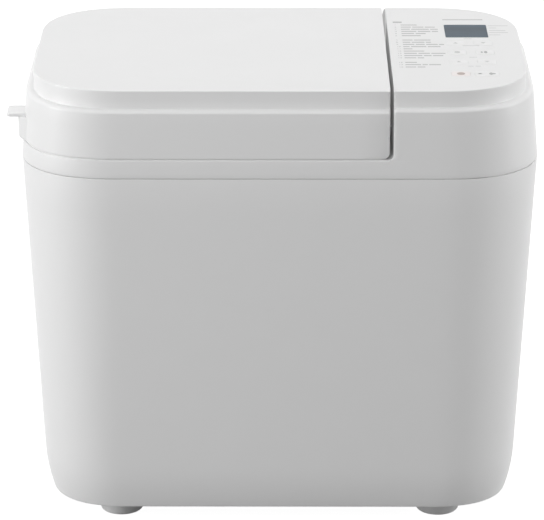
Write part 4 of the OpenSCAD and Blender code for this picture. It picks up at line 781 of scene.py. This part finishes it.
def makeSwell(bottom, top):
    # a hump on the wall that carries the tab, its ends running into the wall
    s = swell
    root = tab["root"]
    out = casing["halfWidth"] + s["out"] - root
    inner = s["inWall"] - root
    rings = []
    for by, z in [(by, bottom + up) for by, up in s["foot"]] + [(0, top)]:
        hump = []
        for i in range(2 * s["steps"] + 1):
            f = i / s["steps"] - 1
            rise = max(0, out - by) * (1 - abs(f) ** s["power"]) + s["end"]
            hump.append((-root - rise, tab["y"] - f * s["half"]))
        rings.append(ring([(inner, tab["y"] + s["half"])] + hump + [(inner, tab["y"] - s["half"])], z))
    return loft("swell", rings, finishes["lidPlastic"])


def makeLid():
    c, h, s = crown, hinge, lidShape
    x, r, w, z0 = split["lidRight"], c["fillet"], c["wall"], s["bottom"]
    plastic = finishes["lidPlastic"]
    rings = hollowRings(-1, x - w, s["ledge"], z0 + r)
    rings.append(ring(sideOutline(-1, inset(upperAt(z0), w), x - w - r), z0))
    rings.append(ring(sideOutline(-1, inset(upperAt(z0), s["edge"]), x - r - s["flat"]), z0))
    rings += cornerRings(-1, x, z0, s["edge"]) + crownRings(-1, x, s["ledge"])
    lid = loft("lidShell", rings, plastic)
    tabTop = z0 + tab["lift"]
    cut(lid, makeTab(tabTop), "UNION")
    cut(lid, makeSwell(z0, tabTop - tab["thick"] + swell["inTab"]), "UNION")
    half = h["armWidth"] / 2 + h["notchGap"]
    for y in (-h["armY"], h["armY"]):
        cut(lid, block("armNotch", (x - w - r - h["over"], y - half, z0 - h["over"]),
                       (x + h["over"], y + half, h["notchTop"]), plastic))
    steam = steamSlots
    cutSlots(lid, steam, oven["x"] - (steam["count"] - 1) * steam["pitch"] / 2, steam["z"], plastic)
    paintLightOnSplit(lid, x)
    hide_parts("lid_shell")
    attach(lid, "lid")


makeLid()
print("lid made")


def makeKey(name, x, y, w):
    k = keyboard
    finish = finishes["startPlastic" if name == "key_start" else "keyPlastic"]
    top = crown["top"] + k["proud"]
    e, m = k["edge"], arcMiddle * k["edge"]
    wider, out = 2 * (k["hole"] - k["gap"]), 2 * k["flangeOut"]
    cap = pad(name + "Cap", w + wider, k["depth"] + wider, k["radius"],
              [(0, k["flangeTop"]), (0, top - e), (m, top - m), (e, top)], x, y, None)
    flange = pad(name + "Flange", w + out, k["depth"] + out, k["radius"],
                 [(0, k["flangeBottom"]), (0, k["flangeTop"])], x, y, None)
    stem = pad(name + "Stem", k["stem"], k["stem"], k["stemRadius"],
               [(0, k["stemBottom"]), (0, k["flangeBottom"])], x, y, None)
    key = join(name + "_cap", [cap, flange, stem], finish)
    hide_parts(name)
    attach(key, name)


for name, (x, y, w) in keyPlaces.items():
    makeKey(name, x, y, w)


def makeDisplay():
    d = display
    top = crown["top"] - d["sunk"]
    gap, out = 2 * d["gap"], 2 * d["flangeOut"]
    window = pad("displayWindow", d["width"] - gap, d["depth"] - gap, d["radius"],
                 [(0, d["bottom"]), (0, top - d["edge"]), (d["edge"], top)], d["x"], d["y"], None)
    flange = pad("displayFlange", d["width"] + out, d["depth"] + out, d["flangeRadius"],
                 [(0, d["flangeBottom"]), (0, d["bottom"])], d["x"], d["y"], None)
    whole = join("display_window", [window, flange], finishes["lcdFace"])
    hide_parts("lcd_window")
    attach(whole, "machine")


makeDisplay()
print("keys and display made")


ink = {"sunk": 0.02, "thick": 0.05, "numeralUp": 0.02, "numeralThick": 0.01, "numeralSteps": 3,
       "signSunk": 0.01, "signThick": 0.03, "roundSteps": 28}


def flatShape(points, z, thick):
    # a thin raised shape from its outline in millimetres
    return loft("flatShape", [ring(points, z), ring(points, z + thick)], None)


def bars(name, outlines, material):
    z = crown["top"] - ink["sunk"]
    return join(name, [flatShape(outline, z, ink["thick"]) for outline in outlines], material)


def bar(x0, x1, y, h):
    return [(x0, y - h / 2), (x1, y - h / 2), (x1, y + h / 2), (x0, y + h / 2)]


def numerals(name, words, size, material):
    # words is a list of (text, x, y), as raised print
    parts = []
    for text, x, y in words:
        curve = bpy.data.curves.new("numeral", "FONT")
        curve.body = text
        curve.size = size * mm
        curve.extrude = ink["numeralThick"] * mm
        curve.align_x = "LEFT"
        curve.resolution_u = ink["numeralSteps"]
        obj = bpy.data.objects.new("numeral", curve)
        bpy.context.scene.collection.objects.link(obj)
        bpy.context.view_layer.update()
        mesh = bpy.data.meshes.new_from_object(obj.evaluated_get(bpy.context.evaluated_depsgraph_get()))
        mesh.transform(Matrix.Translation(place(x, y, crown["top"] + ink["numeralUp"])))
        bpy.data.objects.remove(obj)
        parts.append(addObject("numeral", mesh, None))
    return join(name, parts, material)


# the list of courses: numerals, and plain dashes in the place of words
courses = {
    "x": 91.2, "top": 66.2, "pitch": 6.35, "numeral": 3.4, "numeralDrop": 1.2, "dash": 1.9, "indent": 5.2,
    "space": 1.1,
    "rows": ((13,), (8, 9, 8), (7, 14, 6), (12, 10, 5), (10, 8), (15,), None, (8, 13), (6, 10, 4),
             (9, 7, 9, 4), (5, 12, 10), (7,), (16,), (10, 9, 11), (14, 6, 8), (9, 5), None, (9,), (12, 4, 9),
             (8, 6)),
}


def makeCourses():
    c = courses
    words, dashes = [], []
    for i, row in enumerate(c["rows"]):
        y = c["top"] - c["pitch"] * i
        if not row:
            continue
        words.append((str(len(words) + 1), c["x"], y - c["numeralDrop"]))
        x = c["x"] + c["indent"]
        for length in row:
            dashes.append(bar(x, x + length, y, c["dash"]))
            x += length + c["space"]
    for piece in (numerals("course_numbers", words, c["numeral"], finishes["greyInk"]),
                  bars("course_dashes", dashes, finishes["greyInk"])):
        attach(piece, "machine")


makeCourses()

# bars in the place of a name, a heading and short words: left, right, y
marks = {
    "namePlace": (130.6, 162.8, 82.0), "nameHeight": 1.9,
    "header": (90.4, 97.6, 74.5), "headerHeight": 3.2,
    "beside": [(166.2, 182.0, 64.0), (166.3, 172.5, 57.5), (166.2, 179.3, 50.0), (166.0, 181.0, 44.0),
               (165.5, 174.5, 37.0)],
    "captions": [(145.0, 151.0, 25.6), (143.0, 156.0, 5.6), (146.5, 152.5, -27.2), (144.5, 148.5, -52.0),
                 (150.0, 154.0, -52.0)],
    "height": 1.3,
}


def makeMarks():
    m = marks
    large = [bar(*m["namePlace"], m["nameHeight"]), bar(*m["header"], m["headerHeight"])]
    small = [bar(*spot, m["height"]) for spot in m["beside"] + m["captions"]]
    for piece in (bars("bare_name_bar", large, finishes["greyInk"]),
                  bars("small_marks", small, finishes["paleInk"])):
        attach(piece, "machine")


makeMarks()

# each key's sign: the kind of shape, its place from the key's middle, and its two sizes
keySigns = {
    "key_course_up": [("triangle", 0, 4.2, 3.6)], "key_course_down": [("triangle", 0, 4.2, -3.6)],
    "key_size": [("round", 0, 2.3, 2.9)], "key_crust": [("round", -2.6, 0.9, 2.0), ("round", 0.5, 1.3, 3.4)],
    "key_timer_up": [("triangle", 0, 4.2, 3.6)], "key_timer_down": [("triangle", 0, 4.2, -3.6)],
    "key_start": [("round", 0, 3.1, 3.6)],
    "key_stop": [("round", -5.2, 1.7, 0.9), ("round", 3.2, 1.5, 3.0), ("round", 4.4, 2.4, 1.6)],
}
signInks = {"key_start": "redInk", "key_crust": "greyInk", "key_stop": "greyInk"}


def signOutline(kind, x, y, w, h):
    if kind == "round":
        return ellipse(x, y, w, h, ink["roundSteps"])
    return [(x - w / 2, y - h / 2), (x + w / 2, y - h / 2), (x, y + h / 2)]


def makeSign(name, x, y):
    # shapes that overlap have different heights, so that no two faces lie in one plane
    z = crown["top"] + keyboard["proud"] - ink["signSunk"]
    step = ink["signThick"] / len(keySigns[name])
    parts = [flatShape(signOutline(kind, x + dx, y, w, h), z, step * (i + 1))
             for i, (kind, dx, w, h) in enumerate(keySigns[name])]
    icon = join(name + "_icon", parts, finishes[signInks.get(name, "paleInk")])
    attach(icon, name)


for name, (x, y, w) in keyPlaces.items():
    makeSign(name, x, y)
print("printed marks made")


# the finish of each part that keeps its own shape
partsWith = {
    "zincSteel": ("case_screws", "lid_screws", "hinge_arms", "hinge_pins", "hinge_brackets", "heater_clips",
                  "temperature_sensor", "pan_shaft", "pan_handle", "handle_rivets", "drive_shaft",
                  "motor_pulley", "motor_spacers", "motor_bolts", "capacitor_clamp"),
    "darkPlastic": ("base_plate", "cord_inlet", "handle_grip", "drive_pulley", "transformer", "key_switches",
                    "buzzer"),
    "castAluminium": ("pan_seat", "pan_coupling", "bearing_housing", "drive_coupling", "motor_end_caps"),
    "ovenSteel": ("oven_chamber", "heat_shield"),
    "bearingBrass": ("pan_bush", "shaft_bearings"),
    "nonStick": ("bread_pan", "kneading_blade"),
    "coreSteel": ("motor_core", "motor_rotor"),
    "boardGreen": ("power_board", "control_board"),
    "coverAluminium": ("lid_inner_cover",), "sealRubber": ("lid_seal",), "palePlastic": ("steam_duct",),
    "heaterSteel": ("heating_element",), "frameSteel": ("drive_frame",), "beltRubber": ("drive_belt",),
    "copperWire": ("motor_coils",), "relayBlue": ("relays",), "capacitorCase": ("run_capacitor",),
    "lcdFace": ("lcd_module",),
}
painted = 0
for finishName, partNames in partsWith.items():
    for partName in partNames:
        data = nodes[partName].data
        data.materials.clear()
        data.materials.append(finishes[finishName])
        painted += 1
print("finishes set on", painted, "parts")


studio = {
    "world": 0.12, "floorSeen": 0.965, "floorShade": 0.3, "floorRough": 0.9, "floorShine": 0.1,
    "floorHalf": 6.0,
    "lamps": {
        "top": {"place": (0.0, 0.7, 2.4), "aim": (0, 0, 0.2), "size": (3.0, 1.6), "power": 27.2},
        "back": {"place": (0.0, 2.2, 0.6), "aim": (0, 0, 0.36), "size": (3.2, 0.5), "power": 1.5},
        "front": {"place": (0.0, -1.8, 1.9), "aim": (0, 0, 0.2), "size": (3.0, 1.0), "power": 21.5},
        "leftFront": {"place": (-1.7, -1.5, 0.4), "aim": (0, 0, 0.2), "size": (1.0, 0.6), "power": 5.3},
        "left": {"place": (-2.15, -0.65, 0.8), "aim": (0, 0, 0.2), "size": (0.5, 1.4), "power": 26.3},
        "right": {"place": (2.2, -0.1, 0.8), "aim": (0, 0, 0.2), "size": (0.6, 1.4), "power": 23.2},
    },
}


def addLight(name, spec):
    data = bpy.data.lights.new(name, "AREA")
    data.shape = "RECTANGLE"
    data.size, data.size_y = spec["size"]
    data.energy = spec["power"]
    lamp = bpy.data.objects.new(name, data)
    lamp.location = spec["place"]
    lamp.rotation_euler = (Vector(spec["aim"]) - Vector(spec["place"])).to_track_quat("-Z", "Y").to_euler()
    bpy.context.scene.collection.objects.link(lamp)


for name, spec in studio["lamps"].items():
    addLight(name, spec)


def seenRays(tree):
    # 1 for the rays that see the white surroundings, also by way of metal and glass
    path = addNode(tree, "ShaderNodeLightPath")
    seen = path.outputs["Is Camera Ray"]
    for ray in ("Is Glossy Ray", "Is Transmission Ray"):
        either = addNode(tree, "ShaderNodeMath", operation="MAXIMUM")
        tree.links.new(seen, either.inputs[0])
        tree.links.new(path.outputs[ray], either.inputs[1])
        seen = either.outputs["Value"]
    return seen


def setWorld():
    # white where it is seen, and a weak fill for the rest
    world = bpy.data.worlds.new("studio")
    world.use_nodes = True
    tree = world.node_tree
    tree.nodes.clear()
    out = addNode(tree, "ShaderNodeOutputWorld")
    plain = addNode(tree, "ShaderNodeBackground", {"Color": (1, 1, 1, 1), "Strength": studio["world"]})
    white = addNode(tree, "ShaderNodeBackground", {"Color": (1, 1, 1, 1)})
    mix = addNode(tree, "ShaderNodeMixShader")
    tree.links.new(seenRays(tree), mix.inputs["Fac"])
    tree.links.new(plain.outputs["Background"], mix.inputs[1])
    tree.links.new(white.outputs["Background"], mix.inputs[2])
    tree.links.new(mix.outputs["Shader"], out.inputs["Surface"])
    bpy.context.scene.world = world


def paintFloor():
    # a grey that takes the shadow, with a white that only the seeing rays get
    mat = bpy.data.materials.new("floorPaper")
    mat.use_nodes = True
    tree = mat.node_tree
    shader = tree.nodes["Principled BSDF"]
    shade = studio["floorShade"]
    shader.inputs["Base Color"].default_value = (shade, shade, shade, 1)
    shader.inputs["Roughness"].default_value = studio["floorRough"]
    shader.inputs["Specular IOR Level"].default_value = studio["floorShine"]
    level = addNode(tree, "ShaderNodeMath", {1: studio["floorSeen"]}, operation="MULTIPLY")
    tree.links.new(seenRays(tree), level.inputs[0])
    white = addNode(tree, "ShaderNodeEmission")
    tree.links.new(level.outputs["Value"], white.inputs["Strength"])
    add = addNode(tree, "ShaderNodeAddShader")
    tree.links.new(shader.outputs["BSDF"], add.inputs[0])
    tree.links.new(white.outputs["Emission"], add.inputs[1])
    tree.links.new(add.outputs["Shader"], tree.nodes["Material Output"].inputs["Surface"])
    return mat


def addFloor():
    mesh = bpy.data.meshes.new("floor")
    s = studio["floorHalf"]
    mesh.from_pydata([(-s, -s, 0), (s, -s, 0), (s, s, 0), (-s, s, 0)], [], [(0, 1, 2, 3)])
    mesh.materials.append(paintFloor())
    floor = bpy.data.objects.new("floor", mesh)
    bpy.context.scene.collection.objects.link(floor)


setWorld()
addFloor()
bpy.context.scene.view_settings.view_transform = "Standard"
print("studio set")
